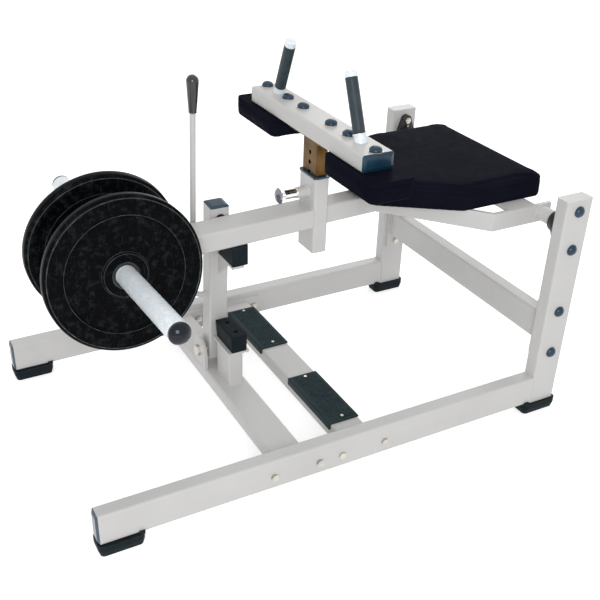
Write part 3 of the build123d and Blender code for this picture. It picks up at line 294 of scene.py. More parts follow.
powder_coat = surface("Powder_coat", (0.575, 0.57, 0.562), (0.63, 0.625, 0.612), (0.38, 0.50),
                      fine=700, broad=5, depth=0.00012, coat=0.15,
                      wear_and_highlight_colour=(0.72, 0.71, 0.69), width=0.0018, amount=0.7)
# Its pale edge colour is partly rubbed wear, partly a painted highlight along the bevels of the end
# caps and the rims of the domes
cap_plastic = surface("Petrol_plastic", (0.007, 0.030, 0.056), (0.012, 0.046, 0.082), (0.16, 0.26),
                      fine=500, broad=20, depth=0.00003,
                      wear_and_highlight_colour=(0.13, 0.30, 0.40), width=0.0016, breakup=90, amount=0.8)
collar_plastic = surface("Blue_collar", (0.012, 0.045, 0.085), (0.020, 0.070, 0.125), (0.22, 0.32),
                         fine=500, broad=30, wear_and_highlight_colour=(0.16, 0.34, 0.44), width=0.001)
rubber = surface("Black_rubber", (0.006, 0.010, 0.013), (0.014, 0.022, 0.026), (0.50, 0.66),
                 fine=1100, broad=18, depth=0.00015, shine=0.08,
                 wear_and_highlight_colour=(0.07, 0.075, 0.085), width=0.0016, breakup=50, amount=0.8)
bearing_black = surface("Black_casting", (0.012, 0.012, 0.014), (0.022, 0.022, 0.026),
                        (0.38, 0.52), fine=420, broad=25, depth=0.0003, coat=0.1,
                        wear_and_highlight_colour=(0.10, 0.10, 0.11), width=0.001, breakup=120, amount=0.7)
zinc_steel = surface("Zinc_plate", (0.46, 0.43, 0.38), (0.66, 0.62, 0.55), (0.24, 0.40),
                     metallic=1.0, fine=600, broad=45, depth=0.00006,
                     wear_and_highlight_colour=(0.82, 0.81, 0.78), width=0.0008)
chrome = surface("Chrome_plate", (0.78, 0.79, 0.80), (0.86, 0.87, 0.88), (0.06, 0.13),
                 metallic=1.0, fine=300, broad=35, depth=0.00001,
                 wear_and_highlight_colour=(0.92, 0.92, 0.93), width=0.0006)
# Its pale edge colour is partly wear, partly a painted highlight on the rims of the inner post's
# holes and on its edges
yellow_zinc = surface("Yellow_zinc", (0.060, 0.031, 0.010), (0.165, 0.095, 0.034), (0.30, 0.44),
                      metallic=1.0, fine=500, broad=28, depth=0.00005,
                      wear_and_highlight_colour=(0.72, 0.60, 0.40), width=0.001)
# Chrome with a darkened colour: a painted reflection of dark surroundings on the pull-pin knob
chrome_with_painted_dark_reflection = surface("Chrome_painted_dark_reflection", (0.20, 0.21, 0.23), (0.34, 0.35, 0.37), (0.10, 0.18),
                       metallic=1.0, fine=300, broad=35, depth=0.00001,
                       wear_and_highlight_colour=(0.80, 0.80, 0.82), width=0.0008)
pad_rubber = surface("Pad_rubber", (0.013, 0.026, 0.031), (0.025, 0.043, 0.049), (0.46, 0.60),
                     fine=1100, broad=22, depth=0.00012, shine=0.1,
                     wear_and_highlight_colour=(0.085, 0.11, 0.12), width=0.0010, breakup=90, amount=0.8)
grip_rubber = surface("Grip_rubber", (0.024, 0.038, 0.047), (0.038, 0.056, 0.068), (0.34, 0.46),
                      fine=900, broad=26, depth=0.00008, shine=0.3,
                      wear_and_highlight_colour=(0.10, 0.13, 0.15), width=0.0008, breakup=90, amount=0.8)
gloss_cap = surface("Gloss_cap", (0.003, 0.007, 0.013), (0.006, 0.012, 0.020), (0.08, 0.15),
                    fine=300, broad=30, depth=0.00001, shine=0.3,
                    wear_and_highlight_colour=(0.05, 0.08, 0.11), width=0.001)
knob_plastic = surface("Gloss_knob", (0.006, 0.006, 0.008), (0.012, 0.012, 0.015), (0.12, 0.2),
                       fine=300, broad=30, depth=0.00002, coat=0.6,
                       wear_and_highlight_colour=(0.05, 0.05, 0.055), width=0.001)


def galvanised_steel():
    """Bright zinc coat with spangles and a few dull handling marks."""
    material, principled, nodes, links = shader("Galvanised_steel")
    place = object_place(nodes, links, scale=(1, 0.6, 1))
    spangle = nodes.new("ShaderNodeTexVoronoi")
    spangle.inputs["Scale"].default_value = 190
    links.new(place, spangle.inputs["Vector"])
    shade = nodes.new("ShaderNodeSeparateColor")
    links.new(spangle.outputs["Color"], shade.inputs["Color"])
    mottle = noise(nodes, links, place, 55, 4, 0.65)
    both = maths(nodes, links, "MULTIPLY", shade.outputs["Red"], mottle)
    mask = span(nodes, links, both, 0.08, 0.45, 0.0, 1.0)
    colour = blend_colour(nodes, links, mask, (0.78, 0.87, 0.93), (0.94, 0.98, 1.0))
    smears = span(nodes, links, noise(nodes, links, place, 14, 3), 0.5, 0.68, 0.0, 0.3)
    colour = blend_colour(nodes, links, smears, colour, (0.56, 0.61, 0.67))
    links.new(colour, principled.inputs["Base Color"])
    links.new(span(nodes, links, both, 0.0, 0.6, 0.30, 0.16), principled.inputs["Roughness"])
    links.new(bump(nodes, links, mottle, 0.3, 0.0001), principled.inputs["Normal"])
    principled.inputs["Metallic"].default_value = 0.1
    return material


def plate_rubber_finish():
    """Black rubber with rubbed edges under a painted highlight line along every edge, faint turned
    scuffs and dust.
    """
    material, principled, nodes, links = shader("Plate_rubber")
    grain = use_group(nodes, grain_group, Fine_scale=800.0, Broad_scale=11.0)
    edges = use_group(nodes, edge_wear_and_highlight, Width=0.0026, Breakup=45.0)
    # Painted highlight: a steady light line along every edge, with the broken rubbed wear on top of
    # it
    wear_and_highlight_mask = maths(nodes, links, "MULTIPLY", edges["Edge"], 0.55)
    wear_and_highlight_mask = maths(nodes, links, "MAXIMUM", wear_and_highlight_mask, edges["Mask"])
    place = object_place(nodes, links)
    scuffs = span(nodes, links, noise(nodes, links, place, 60, 7, 0.75), 0.50, 0.78, 0.0, 0.75)
    scratch_place = object_place(nodes, links, scale=(260, 8, 18), turn=(0.3, 0.2, 0.5))
    scratches = span(nodes, links, noise(nodes, links, scratch_place, 1.0, 2), 0.66, 0.74, 0.0, 0.5)
    marks = maths(nodes, links, "MAXIMUM", scuffs, scratches)
    colour = blend_colour(nodes, links, grain["Broad"],
                          (0.0008, 0.0009, 0.0012), (0.0030, 0.0034, 0.0038))
    colour = blend_colour(nodes, links, marks, colour, (0.034, 0.038, 0.041))
    colour = blend_colour(nodes, links, wear_and_highlight_mask, colour, (0.17, 0.20, 0.215))
    principled.inputs["Specular IOR Level"].default_value = 0.03
    links.new(colour, principled.inputs["Base Color"])
    links.new(span(nodes, links, marks, 0.0, 0.6, 0.30, 0.55), principled.inputs["Roughness"])
    links.new(bump(nodes, links, grain["Fine"], 0.4, 0.0001), principled.inputs["Normal"])
    return material


def vinyl_finish():
    """Navy-black upholstery vinyl: pebbled grain, slight sheen and a painted highlight on the
    crests of its folds.
    """
    material, principled, nodes, links = shader("Upholstery_vinyl")
    place = object_place(nodes, links)
    pebbles = nodes.new("ShaderNodeTexVoronoi")
    pebbles.feature = "SMOOTH_F1"
    pebbles.inputs["Scale"].default_value = 620
    pebbles.inputs["Smoothness"].default_value = 0.6
    links.new(place, pebbles.inputs["Vector"])
    folds = noise(nodes, links, place, 45, 4, 0.6)
    height = maths(nodes, links, "MULTIPLY_ADD", pebbles.outputs["Distance"], 0.8)
    broad = noise(nodes, links, place, 7, 3)
    patches = span(nodes, links, broad, 0.3, 0.7, 0.0, 1.0)
    colour = blend_colour(nodes, links, patches, (0.0052, 0.0058, 0.0112), (0.0080, 0.0088, 0.0165))
    # Painted highlight: the crests of the folds are lightened
    colour = blend_colour(nodes, links, span(nodes, links, folds, 0.55, 0.8, 0.0, 0.4),
                          colour, (0.010, 0.011, 0.019))
    principled.inputs["Specular IOR Level"].default_value = 0.004
    links.new(colour, principled.inputs["Base Color"])
    links.new(span(nodes, links, folds, 0.3, 0.7, 0.42, 0.56), principled.inputs["Roughness"])
    first = nodes.new("ShaderNodeBump")
    first.inputs["Strength"].default_value = 0.5
    first.inputs["Distance"].default_value = 0.0002
    links.new(height, first.inputs["Height"])
    second = nodes.new("ShaderNodeBump")
    second.inputs["Strength"].default_value = 0.25
    second.inputs["Distance"].default_value = 0.0012
    links.new(folds, second.inputs["Height"])
    links.new(first.outputs["Normal"], second.inputs["Normal"])
    links.new(second.outputs["Normal"], principled.inputs["Normal"])
    return material


def plywood_finish():
    """Black-stained plywood: thin plies seen at the edge and long grain on the face."""
    material, principled, nodes, links = shader("Stained_plywood")
    plies = nodes.new("ShaderNodeTexWave")
    plies.bands_direction = "Z"
    plies.inputs["Scale"].default_value = 170
    plies.inputs["Distortion"].default_value = 0.6
    links.new(object_place(nodes, links), plies.inputs["Vector"])
    fibres = noise(nodes, links, object_place(nodes, links, scale=(40, 600, 600)), 1.0, 3)
    tone = maths(nodes, links, "MULTIPLY", plies.outputs["Fac"], fibres)
    colour = blend_colour(nodes, links, span(nodes, links, tone, 0.1, 0.6, 0, 1),
                          (0.010, 0.009, 0.008), (0.045, 0.038, 0.032))
    links.new(colour, principled.inputs["Base Color"])
    links.new(span(nodes, links, fibres, 0.3, 0.7, 0.6, 0.8), principled.inputs["Roughness"])
    links.new(bump(nodes, links, fibres, 0.4, 0.0003), principled.inputs["Normal"])
    return material


galvanised = galvanised_steel()
plate_rubber = plate_rubber_finish()
vinyl = vinyl_finish()
plywood = plywood_finish()
finishes = {
    "frame_paint": powder_coat,
    "cap_plastic": cap_plastic,
    "collar_plastic": collar_plastic,
    "zinc_steel": zinc_steel,
    "bearing_black": bearing_black,
    "rubber": rubber,
    "plate_rubber": plate_rubber,
    "sleeve_steel": galvanised,
    "chrome": chrome,
    "yellow_zinc": yellow_zinc,
    "knob_plastic": knob_plastic,
    "vinyl": vinyl,
    "board": plywood,
}

# Every node of the frame takes the finish of its slot
slot_of = {part["node"]: part["material_slot"] for part in frame["record"]["subparts"]}
for node, solid in frame["nodes"].items():
    if not solid.material_slots:
        solid.data.materials.append(finishes[slot_of[node]])
    for held in solid.material_slots:
        held.material = finishes[slot_of[node]]

own_finishes = {
    "pull_pin_knob": chrome_with_painted_dark_reflection,
    "sleeve_end_caps": gloss_cap,
    "handle_stems": galvanised,
}
for node, finish in own_finishes.items():
    for held in frame["nodes"][node].material_slots:
        held.material = finish


# ---- Floor and backdrop

def seen_directly(nodes, links):
    """1 on rays that show the floor and sky themselves, 0 on rays that light the machine."""
    rays = nodes.new("ShaderNodeLightPath")
    seen = maths(nodes, links, "MAXIMUM", rays.outputs["Is Camera Ray"],
                 rays.outputs["Is Glossy Ray"])
    return maths(nodes, links, "MAXIMUM", seen, rays.outputs["Is Transmission Ray"])


def floor_finish():
    """Pale floor: plain white by colour, which still takes the machine's shadow."""
    material, principled, nodes, links = shader("Pale_floor")
    tone = noise(nodes, links, object_place(nodes, links), 3, 2)
    links.new(blend_colour(nodes, links, tone, (0.86, 0.86, 0.86), (0.88, 0.88, 0.88)),
              principled.inputs["Base Color"])
    links.new(span(nodes, links, tone, 0.3, 0.7, 0.75, 0.85), principled.inputs["Roughness"])
    glow = nodes.new("ShaderNodeEmission")
    seen = seen_directly(nodes, links)
    links.new(maths(nodes, links, "MULTIPLY", seen, FLOOR_GLOW), glow.inputs["Strength"])
    both = nodes.new("ShaderNodeAddShader")
    links.new(principled.outputs[0], both.inputs[0])
    links.new(glow.outputs[0], both.inputs[1])
    links.new(both.outputs[0], nodes["Material Output"].inputs["Surface"])
    return material


bpy.ops.mesh.primitive_plane_add(size=24, location=(0, 0, 0))
floor = bpy.context.object
floor.name = "Floor"
floor.data.materials.append(floor_finish())

world = bpy.data.worlds.new("Studio")
bpy.context.scene.world = world
world.use_nodes = True
sky = world.node_tree.nodes["Background"]
sky.inputs["Color"].default_value = (1, 1, 1, 1)
sky_nodes = world.node_tree.nodes
sky_links = world.node_tree.links
seen = seen_directly(sky_nodes, sky_links)
sky_links.new(span(sky_nodes, sky_links, seen, 0.0, 1.0, SKY_LIGHT, 1.0), sky.inputs["Strength"])


# ---- Modelling helpers

def take(piece):
    """Make one piece the only selected and active object."""
    bpy.ops.object.select_all(action="DESELECT")
    piece.select_set(True)
    bpy.context.view_layer.objects.active = piece


def settle(piece):
    """Put the piece's place into its mesh, and its object at the origin."""
    take(piece)
    bpy.ops.object.transform_apply(location=True, rotation=True, scale=True)


def apply_all(piece):
    take(piece)
    for modifier in list(piece.modifiers):
        bpy.ops.object.modifier_apply(modifier=modifier.name)


def finish_piece(piece, name, body, slot, *nodes, angle=35, finish=None):
    """Name, shade and hand over a finished piece."""
    piece.name = name
    piece.data.name = name
    settle(piece)
    bpy.ops.object.shade_smooth_by_angle(angle=math.radians(angle))
    piece.data.materials.clear()
    piece.data.materials.append(finish or finishes[slot])
    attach(piece, body)
    if nodes:
        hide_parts(*nodes)
    return piece


def turn_solid(profile, base, direction, steps=96, closed=True):
    """Spin a profile of (distance along, radius) points about an axis from a base."""
    bpy.ops.mesh.primitive_plane_add(size=0.01, location=(0, 0, 0))
    piece = bpy.context.object
    bpy.ops.object.mode_set(mode="EDIT")
    bpy.ops.mesh.select_mode(type="VERT")
    bpy.ops.mesh.select_all(action="SELECT")
    bpy.ops.mesh.merge(type="CENTER")
    along, radius = profile[0]
    bpy.ops.transform.translate(value=(radius, 0, along))
    for (a0, r0), (a1, r1) in zip(profile, profile[1:]):
        bpy.ops.mesh.extrude_region_move(TRANSFORM_OT_translate={"value": (r1 - r0, 0, a1 - a0)})
    if closed:
        a_last, r_last = profile[-1]
        bpy.ops.mesh.extrude_region_move(
            TRANSFORM_OT_translate={"value": (radius - r_last, 0, along - a_last)}
        )
    bpy.ops.mesh.select_all(action="SELECT")
    bpy.ops.mesh.remove_doubles(threshold=0.000005)
    bpy.ops.mesh.spin(steps=steps, angle=math.tau, center=(0, 0, 0), axis=(0, 0, 1))
    bpy.ops.mesh.select_all(action="SELECT")
    bpy.ops.mesh.remove_doubles(threshold=0.000005)
    bpy.ops.mesh.normals_make_consistent(inside=False)
    bpy.ops.object.mode_set(mode="OBJECT")
    piece.rotation_euler = Vector(direction).to_track_quat("Z", "Y").to_euler()
    piece.location = base
    settle(piece)
    return piece


def join(pieces):
    bpy.ops.object.select_all(action="DESELECT")
    for piece in pieces:
        piece.select_set(True)
    bpy.context.view_layer.objects.active = pieces[0]
    bpy.ops.object.join()
    return bpy.context.object


def select_faces(piece, test):
    """Select, in edit mode, the faces whose centre and normal pass a test."""
    bpy.ops.mesh.select_mode(type="FACE")
    bpy.ops.mesh.select_all(action="DESELECT")
    shape = bmesh.from_edit_mesh(piece.data)
    for face in shape.faces:
        face.select_set(bool(test(face.calc_center_median(), face.normal)))
    bmesh.update_edit_mesh(piece.data)


def copy_of(node):
    """Merged copy of a node's mesh as a new object."""
    mesh = frame["nodes"][node].data.copy()
    mesh.materials.clear()
    piece = bpy.data.objects.new("Copy", mesh)
    bpy.context.scene.collection.objects.link(piece)
    take(piece)
    bpy.ops.object.mode_set(mode="EDIT")
    bpy.ops.mesh.select_all(action="SELECT")
    bpy.ops.mesh.remove_doubles(threshold=0.00001)
    bpy.ops.object.mode_set(mode="OBJECT")
    return piece


def softened(node, name, width, segments=3):
    """The node's form with its sharp edges rounded, standing in the node's place."""
    piece = copy_of(node)
    bpy.ops.object.mode_set(mode="EDIT")
    bpy.ops.mesh.select_all(action="SELECT")
    bpy.ops.mesh.dissolve_limited(angle_limit=math.radians(2))
    bpy.ops.object.mode_set(mode="OBJECT")
    rounding = piece.modifiers.new("Rounding", "BEVEL")
    rounding.width = width
    rounding.segments = segments
    rounding.limit_method = "ANGLE"
    rounding.angle_limit = math.radians(28)
    rounding.harden_normals = False
    apply_all(piece)
    body = frame["nodes"][node]["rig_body"]
    return finish_piece(piece, name, body, slot_of[node], node)


# ---- Cushions

def swell(piece, held_test, limit, pressure=4.0):
    """Blow the padding up under its cover by a short cloth run, held at its board."""
    size = piece.modifiers.new("Even_mesh", "REMESH")
    size.mode = "VOXEL"
    size.voxel_size = 0.005
    apply_all(piece)
    held = piece.vertex_groups.new(name="held")
    held.add([v.index for v in piece.data.vertices if held_test(v.co)], 1.0, "REPLACE")
    before = [(v.co.copy(), v.normal.copy()) for v in piece.data.vertices]
    cover = piece.modifiers.new("Cover", "CLOTH")
    cover.settings.use_pressure = True
    cover.settings.uniform_pressure_force = pressure
    cover.settings.effector_weights.gravity = 0
    cover.settings.vertex_group_mass = "held"
    cover.point_cache.frame_end = 20
    for step in range(1, 21):
        bpy.context.scene.frame_set(step)
    apply_all(piece)
    bpy.context.scene.frame_set(1)
    for vertex, (start, outward) in zip(piece.data.vertices, before):
        puff = (vertex.co - start).dot(outward)
        vertex.co = start + outward * min(max(puff, -0.0006), limit)
    piece.vertex_groups.clear()
    smoother = piece.modifiers.new("Smooth_cover", "SUBSURF")
    smoother.levels = 1
    smoother.render_levels = 1
    apply_all(piece)


def sewn_line(piece, height, depth, reach):
    """Draw the cover in along a level seam."""
    for vertex in piece.data.vertices:
        near = 1 - abs(vertex.co.z - height) / reach
        if near > 0:
            out = Vector((vertex.normal.x, vertex.normal.y, 0))
            if out.length > 0.3:
                vertex.co -= out.normalized() * depth * near * near


def welt(piece, name, height, radius, body):
    """Thin welt cord that lies in a level seam of a cushion."""
    mesh = piece.data.copy()
    line = bpy.data.objects.new(name, mesh)
    bpy.context.scene.collection.objects.link(line)
    take(line)
    bpy.ops.object.mode_set(mode="EDIT")
    bpy.ops.mesh.select_all(action="SELECT")
    bpy.ops.mesh.bisect(plane_co=(0, 0, height), plane_no=(0, 0, 1),
                        clear_inner=True, clear_outer=True)
    bpy.ops.object.mode_set(mode="OBJECT")
    bpy.ops.object.convert(target="CURVE")
    line = bpy.context.object
    line.data.bevel_depth = radius
    line.data.bevel_resolution = 2
    bpy.ops.object.convert(target="MESH")
    return finish_piece(bpy.context.object, name, body, "vinyl")


def cushion(node, name, flat_height, up, seam_height, limit):
    """Padded cushion in the node's place: flat on its board, crowned on the other side."""
    piece = copy_of(node)
    bpy.ops.object.mode_set(mode="EDIT")
    bpy.ops.mesh.select_all(action="SELECT")
    bpy.ops.mesh.convex_hull()
    bpy.ops.mesh.normals_make_consistent(inside=False)
    bpy.ops.object.mode_set(mode="OBJECT")
    low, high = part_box(node)
    middle = (low + high) / 2
    for vertex in piece.data.vertices:
        slim = 0.0006 + 0.0034 * min(1, abs(vertex.co.z - flat_height) / 0.012)
        for axis in (0, 1):
            half = (high[axis] - low[axis]) / 2
            vertex.co[axis] = middle[axis] + (vertex.co[axis] - middle[axis]) * (half - slim) / half
        vertex.co.z = flat_height + (vertex.co.z - flat_height) * 0.96
    swell(piece, lambda co: abs(co.z - flat_height) < 0.004, limit)
    rest = flat_height - up * 0.0004
    for vertex in piece.data.vertices:
        if (vertex.co.z - flat_height) * up < 0.0034:
            vertex.co.z = rest
        vertex.co.z = min(max(vertex.co.z, low.z - 0.004), high.z + 0.004)
    sewn_line(piece, seam_height, 0.0022, 0.007)
    body = frame["nodes"][node]["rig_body"]
    finish_piece(piece, name, body, "vinyl", node, angle=60)
    welt(piece, name + "_welt", seam_height, 0.0011, body)
    return piece


seat_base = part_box("seat_cushion")[0].z
cushion("seat_cushion", "Main_cushion_cover", seat_base, 1, seat_base + 0.040, 0.0035)
for word in ("near", "far"):
    pad_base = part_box(word + "_thigh_pad")[1].z
    cushion(word + "_thigh_pad", word.title() + "_thigh_pad_cover",
            pad_base, -1, pad_base - 0.012, 0.003)


# ---- Weight plates: rubber ring with a raised rim, dished web, hub ring and steel bush

def sleeve_direction(side):
    return Vector((0, side * math.cos(SLEEVE_RISE), math.sin(SLEEVE_RISE)))


half_face = [
    (0.0000, 0.0310), (0.0000, 0.0470), (0.0006, 0.0492), (0.0006, 0.0500), (0.0002, 0.0506),
    (0.0010, 0.0520), (0.0046, 0.0545), (0.0052, 0.0570), (0.0058, 0.0800), (0.0064, 0.1100),
    (0.0068, 0.1310), (0.0060, 0.1340), (0.0030, 0.1366), (0.0008, 0.1380), (0.0004, 0.1390),
    (0.0010, 0.1402), (0.0010, 0.1425), (0.0004, 0.1445), (0.0000, 0.1480), (0.0000, 0.1740),
    (0.0004, 0.1752), (0.0012, 0.1758), (0.0006, 0.1768), (0.0014, 0.1800), (0.0036, 0.1826),
    (0.0066, 0.1839),
]
for side, word in ((-1, "near"), (1, "far")):
    direction = sleeve_direction(side)
    base = SLEEVE_ORIGIN + direction * PLATE_START
    profile = [(depth + PLATE_SLACK, radius) for depth, radius in half_face]
    profile += [
        (PLATE_THICKNESS - depth - PLATE_SLACK, radius) for depth, radius in reversed(half_face)
    ]
    ring = turn_solid(profile, base, direction, steps=128)
    finish_piece(ring, word.title() + "_plate_rubber", word + "_plate", "plate_rubber",
                 word + "_weight_plate", angle=40)
    bush_profile = [
        (0.0008, PLATE_BORE + 0.0006), (0.0002, PLATE_BORE + 0.0014), (0.0002, 0.0304),
        (0.0010, 0.0309), (PLATE_THICKNESS - 0.0010, 0.0309), (PLATE_THICKNESS - 0.0002, 0.0304),
        (PLATE_THICKNESS - 0.0002, PLATE_BORE + 0.0014),
        (PLATE_THICKNESS - 0.0008, PLATE_BORE + 0.0006),
    ]
    bush = turn_solid(bush_profile, base, direction, steps=64)
    finish_piece(bush, word.title() + "_plate_bush", word + "_plate", "bearing_black", angle=40)


# ---- Foot pads: plain border, studded middle and a rolled front lip

def foot_pad(word):
    low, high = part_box(word + "_foot_pad")
    tube_front = low.x + PAD_LIP
    bpy.ops.mesh.primitive_cube_add(size=1, location=(0, 0, 0))
    pad = bpy.context.object
    pad.scale = (high.x - low.x, high.y - low.y, PAD_SHEET)
    pad.location = ((low.x + high.x) / 2, (low.y + high.y) / 2, CROSS_TOP + pad.scale.z / 2)
    settle(pad)
    bpy.ops.object.mode_set(mode="EDIT")
    bpy.ops.mesh.select_all(action="SELECT")
    bpy.ops.mesh.bisect(plane_co=(tube_front, 0, 0), plane_no=(1, 0, 0))
    select_faces(pad, lambda centre, normal: normal.z < -0.9 and centre.x < tube_front)
    bpy.ops.mesh.extrude_region_move(
        TRANSFORM_OT_translate={"value": (0, 0, low.z - CROSS_TOP)}
    )
    select_faces(pad, lambda centre, normal: normal.z > 0.9 and centre.x > tube_front)
    bpy.ops.mesh.inset(thickness=PAD_BORDER)
    studded_low = Vector((tube_front + PAD_BORDER, low.y + PAD_BORDER))
    studded_high = Vector((high.x - PAD_BORDER, high.y - PAD_BORDER))
    bpy.ops.mesh.delete(type="ONLY_FACE")
    bpy.ops.object.mode_set(mode="OBJECT")
    rounding = pad.modifiers.new("Rounding", "BEVEL")
    rounding.width = 0.0016
    rounding.segments = 3
    rounding.limit_method = "ANGLE"
    apply_all(pad)
    columns = round((studded_high.x - studded_low.x) / STUD_PITCH)
    rows = round((studded_high.y - studded_low.y) / STUD_PITCH)
    bpy.ops.mesh.primitive_grid_add(x_subdivisions=columns, y_subdivisions=rows, size=1,
                                    location=(0, 0, 0))
    studs = bpy.context.object
    studs.scale = (studded_high.x - studded_low.x, studded_high.y - studded_low.y, 1)
    studs.location = ((studded_low.x + studded_high.x) / 2, (studded_low.y + studded_high.y) / 2,
                      CROSS_TOP + PAD_SHEET)
    settle(studs)
    bpy.ops.object.mode_set(mode="EDIT")

    def away_from_screws(centre, normal):
        return all(
            math.hypot(centre.x - PAD_SCREW_X, centre.y - y) > PAD_SCREW_ROOM
            for y in (low.y + PAD_SCREW_INSET, high.y - PAD_SCREW_INSET)
        )

    select_faces(studs, away_from_screws)
    bpy.ops.mesh.inset(thickness=0.0009, use_individual=True)
    bpy.ops.transform.translate(value=(0, 0, 0.0009))
    bpy.ops.mesh.inset(thickness=0.0006, use_individual=True)
    bpy.ops.transform.translate(value=(0, 0, 0.0003))
    bpy.ops.object.mode_set(mode="OBJECT")
    pad = join([pad, studs])
    bpy.ops.object.mode_set(mode="EDIT")
    bpy.ops.mesh.select_all(action="SELECT")
    bpy.ops.mesh.remove_doubles(threshold=0.00005)
    bpy.ops.object.mode_set(mode="OBJECT")
    return finish_piece(pad, word.title() + "_studded_pad", "frame", "rubber", word + "_foot_pad",
                        angle=25, finish=pad_rubber)


for word in ("near", "far"):
    foot_pad(word)


# ---- Handle grips: ribbed sleeves with rolled ends

for side, word in ((-1, "near"), (1, "far")):
    up = Vector((0, -side * math.sin(HANDLE_LEAN), math.cos(HANDLE_LEAN)))
    base = Vector((ADJUSTER_X, side * HANDLE_Y, BAR_TOP))
    start, length = 0.0192, 0.1216
    core, outer = 0.0106, 0.0145
    profile = [(start, core), (start, outer - 0.0016), (start + 0.0010, outer - 0.0003),
               (start + 0.0040, outer), (start + 0.0048, outer - 0.0007)]
    ribs = 24
    pitch = (length - 0.0120) / ribs
    for rib in range(ribs):
        foot = start + 0.0060 + rib * pitch
        profile += [(foot, outer - 0.0007), (foot + pitch * 0.3, outer - 0.0001),
                    (foot + pitch * 0.7, outer - 0.0001)]
    end = start + length
    profile += [(end - 0.0048, outer - 0.0007), (end - 0.0040, outer),
                (end - 0.0010, outer - 0.0003), (end, outer - 0.0016), (end, core)]
    grip = turn_solid(profile, base, up, steps=40)
    if side == -1:
        near_grip = grip
grips = join([near_grip, grip])
finish_piece(grips, "Ribbed_grips", "thigh_rest", "rubber", "handle_grips", angle=50,
             finish=grip_rubber)


# ---- Rounded bumpers and side buffer

softened("lower_bumper", "Lower_bumper_block", 0.0020)
softened("upper_bumper", "Upper_bumper_block", 0.0020)
softened("prop_side_buffer", "Side_buffer_pad", 0.0012)


# ---- Dome caps and washers on the thigh bar, and the pull pin's painted boss

dome_profile = [
    (0.0000, 0), (0.0000, 0.0144), (0.0014, 0.0150), (0.0034, 0.0149), (0.0058, 0.0138),
    (0.0082, 0.0117), (0.0102, 0.0086), (0.0114, 0.0048), (0.0118, 0),
]
washer_profile = [(0.0, 0), (0.0, 0.0164), (0.0008, 0.0169), (0.0014, 0.0165), (0.0014, 0)]
domes = []
washers = []
for y in BAR_BOLTS:
    domes.append(turn_solid(dome_profile, (ADJUSTER_X, y, BAR_TOP + 0.0012), (0, 0, 1),
                            steps=48, closed=False))
    washers.append(turn_solid(washer_profile, (ADJUSTER_X, y, BAR_TOP - 0.0001), (0, 0, 1),
                              steps=48, closed=False))
finish_piece(join(domes), "Bar_dome_caps", "thigh_rest", "cap_plastic", angle=50)
finish_piece(join(washers), "Bar_washers", "thigh_rest", "zinc_steel")

boss_profile = [(0, 0.0120), (0, 0.0134), (0.0008, 0.0142), (0.0304, 0.0142), (0.0304, 0.0120)]
boss = turn_solid(boss_profile, PIN_BOSS, (1, 0, 0), steps=64)
finish_piece(boss, "Pin_boss_paint", "lever", "frame_paint", angle=40)

# The pin's spring: wound wire that shortens as the pin is drawn out
spring_low, spring_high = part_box("pull_pin_spring")
spring_length = spring_high.x - spring_low.x
coil_radius = (spring_high.z - spring_low.z) / 2 - SPRING_WIRE
bpy.ops.mesh.primitive_circle_add(vertices=8, radius=SPRING_WIRE, location=(coil_radius, 0, 0),
                                  rotation=(math.pi / 2, 0, 0))
coil = bpy.context.object
settle(coil)
winding = coil.modifiers.new("Winding", "SCREW")
winding.steps = 20
winding.render_steps = 20
winding.iterations = SPRING_TURNS
winding.screw_offset = (spring_length - 2 * SPRING_WIRE) / SPRING_TURNS
apply_all(coil)
bpy.ops.object.mode_set(mode="EDIT")
bpy.ops.mesh.select_mode(type="VERT")
bpy.ops.mesh.select_all(action="SELECT")
bpy.ops.mesh.remove_doubles(threshold=0.000005)
bpy.ops.mesh.fill_holes(sides=8)
bpy.ops.mesh.normals_make_consistent(inside=False)
bpy.ops.object.mode_set(mode="OBJECT")
coil.rotation_euler = (0, math.pi / 2, 0)
coil.location = (spring_low.x + SPRING_WIRE, 0, (spring_low.z + spring_high.z) / 2)
finish_piece(coil, "Pin_spring", "lever", "zinc_steel", "pull_pin_spring", angle=60)
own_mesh(coil)


# ---- Weld beads

def bead_pattern(ripples):
    """Rippled bead of unit length and radius, modelled once for its copies."""
    step = 1 / ripples
    profile = [(0, 0), (step * 0.3, 0.75)]
    for ripple in range(1, ripples):
        profile += [(step * ripple, 1.0), (step * (ripple + 0.35), 0.8)]
    profile += [(1, 0)]
    bead = turn_solid(profile, (0, 0, 0), (0, 0, 1), steps=8, closed=False)
    shape = bead.data.copy()
    bpy.data.objects.remove(bead)
    return shape


short_bead = bead_pattern(10)
long_bead = bead_pattern(22)


def weld_run(start, end, radius=0.0024):
    """Rippled bead along a straight joint."""
    start, end = Vector(start), Vector(end)
    length = (end - start).length
    pattern = long_bead if length > 0.05 else short_bead
    piece = bpy.data.objects.new("Bead", pattern.copy())
    bpy.context.scene.collection.objects.link(piece)
    piece.scale = (radius, radius, length)
    piece.rotation_euler = (end - start).to_track_quat("Z", "Y").to_euler()
    piece.location = start
    settle(piece)
    return piece


def weld_ring(centre, axis, ring_radius, radius=0.0024):
    """Bead round a tube or boss."""
    bpy.ops.mesh.primitive_torus_add(major_radius=ring_radius, minor_radius=radius,
                                     major_segments=64, minor_segments=8, location=(0, 0, 0))
    piece = bpy.context.object
    bpy.ops.object.mode_set(mode="EDIT")
    bpy.ops.mesh.select_all(action="SELECT")
    bpy.ops.transform.vertex_random(offset=0.0003, seed=3)
    bpy.ops.object.mode_set(mode="OBJECT")
    piece.rotation_euler = Vector(axis).to_track_quat("Z", "Y").to_euler()
    piece.location = centre
    settle(piece)
    return piece


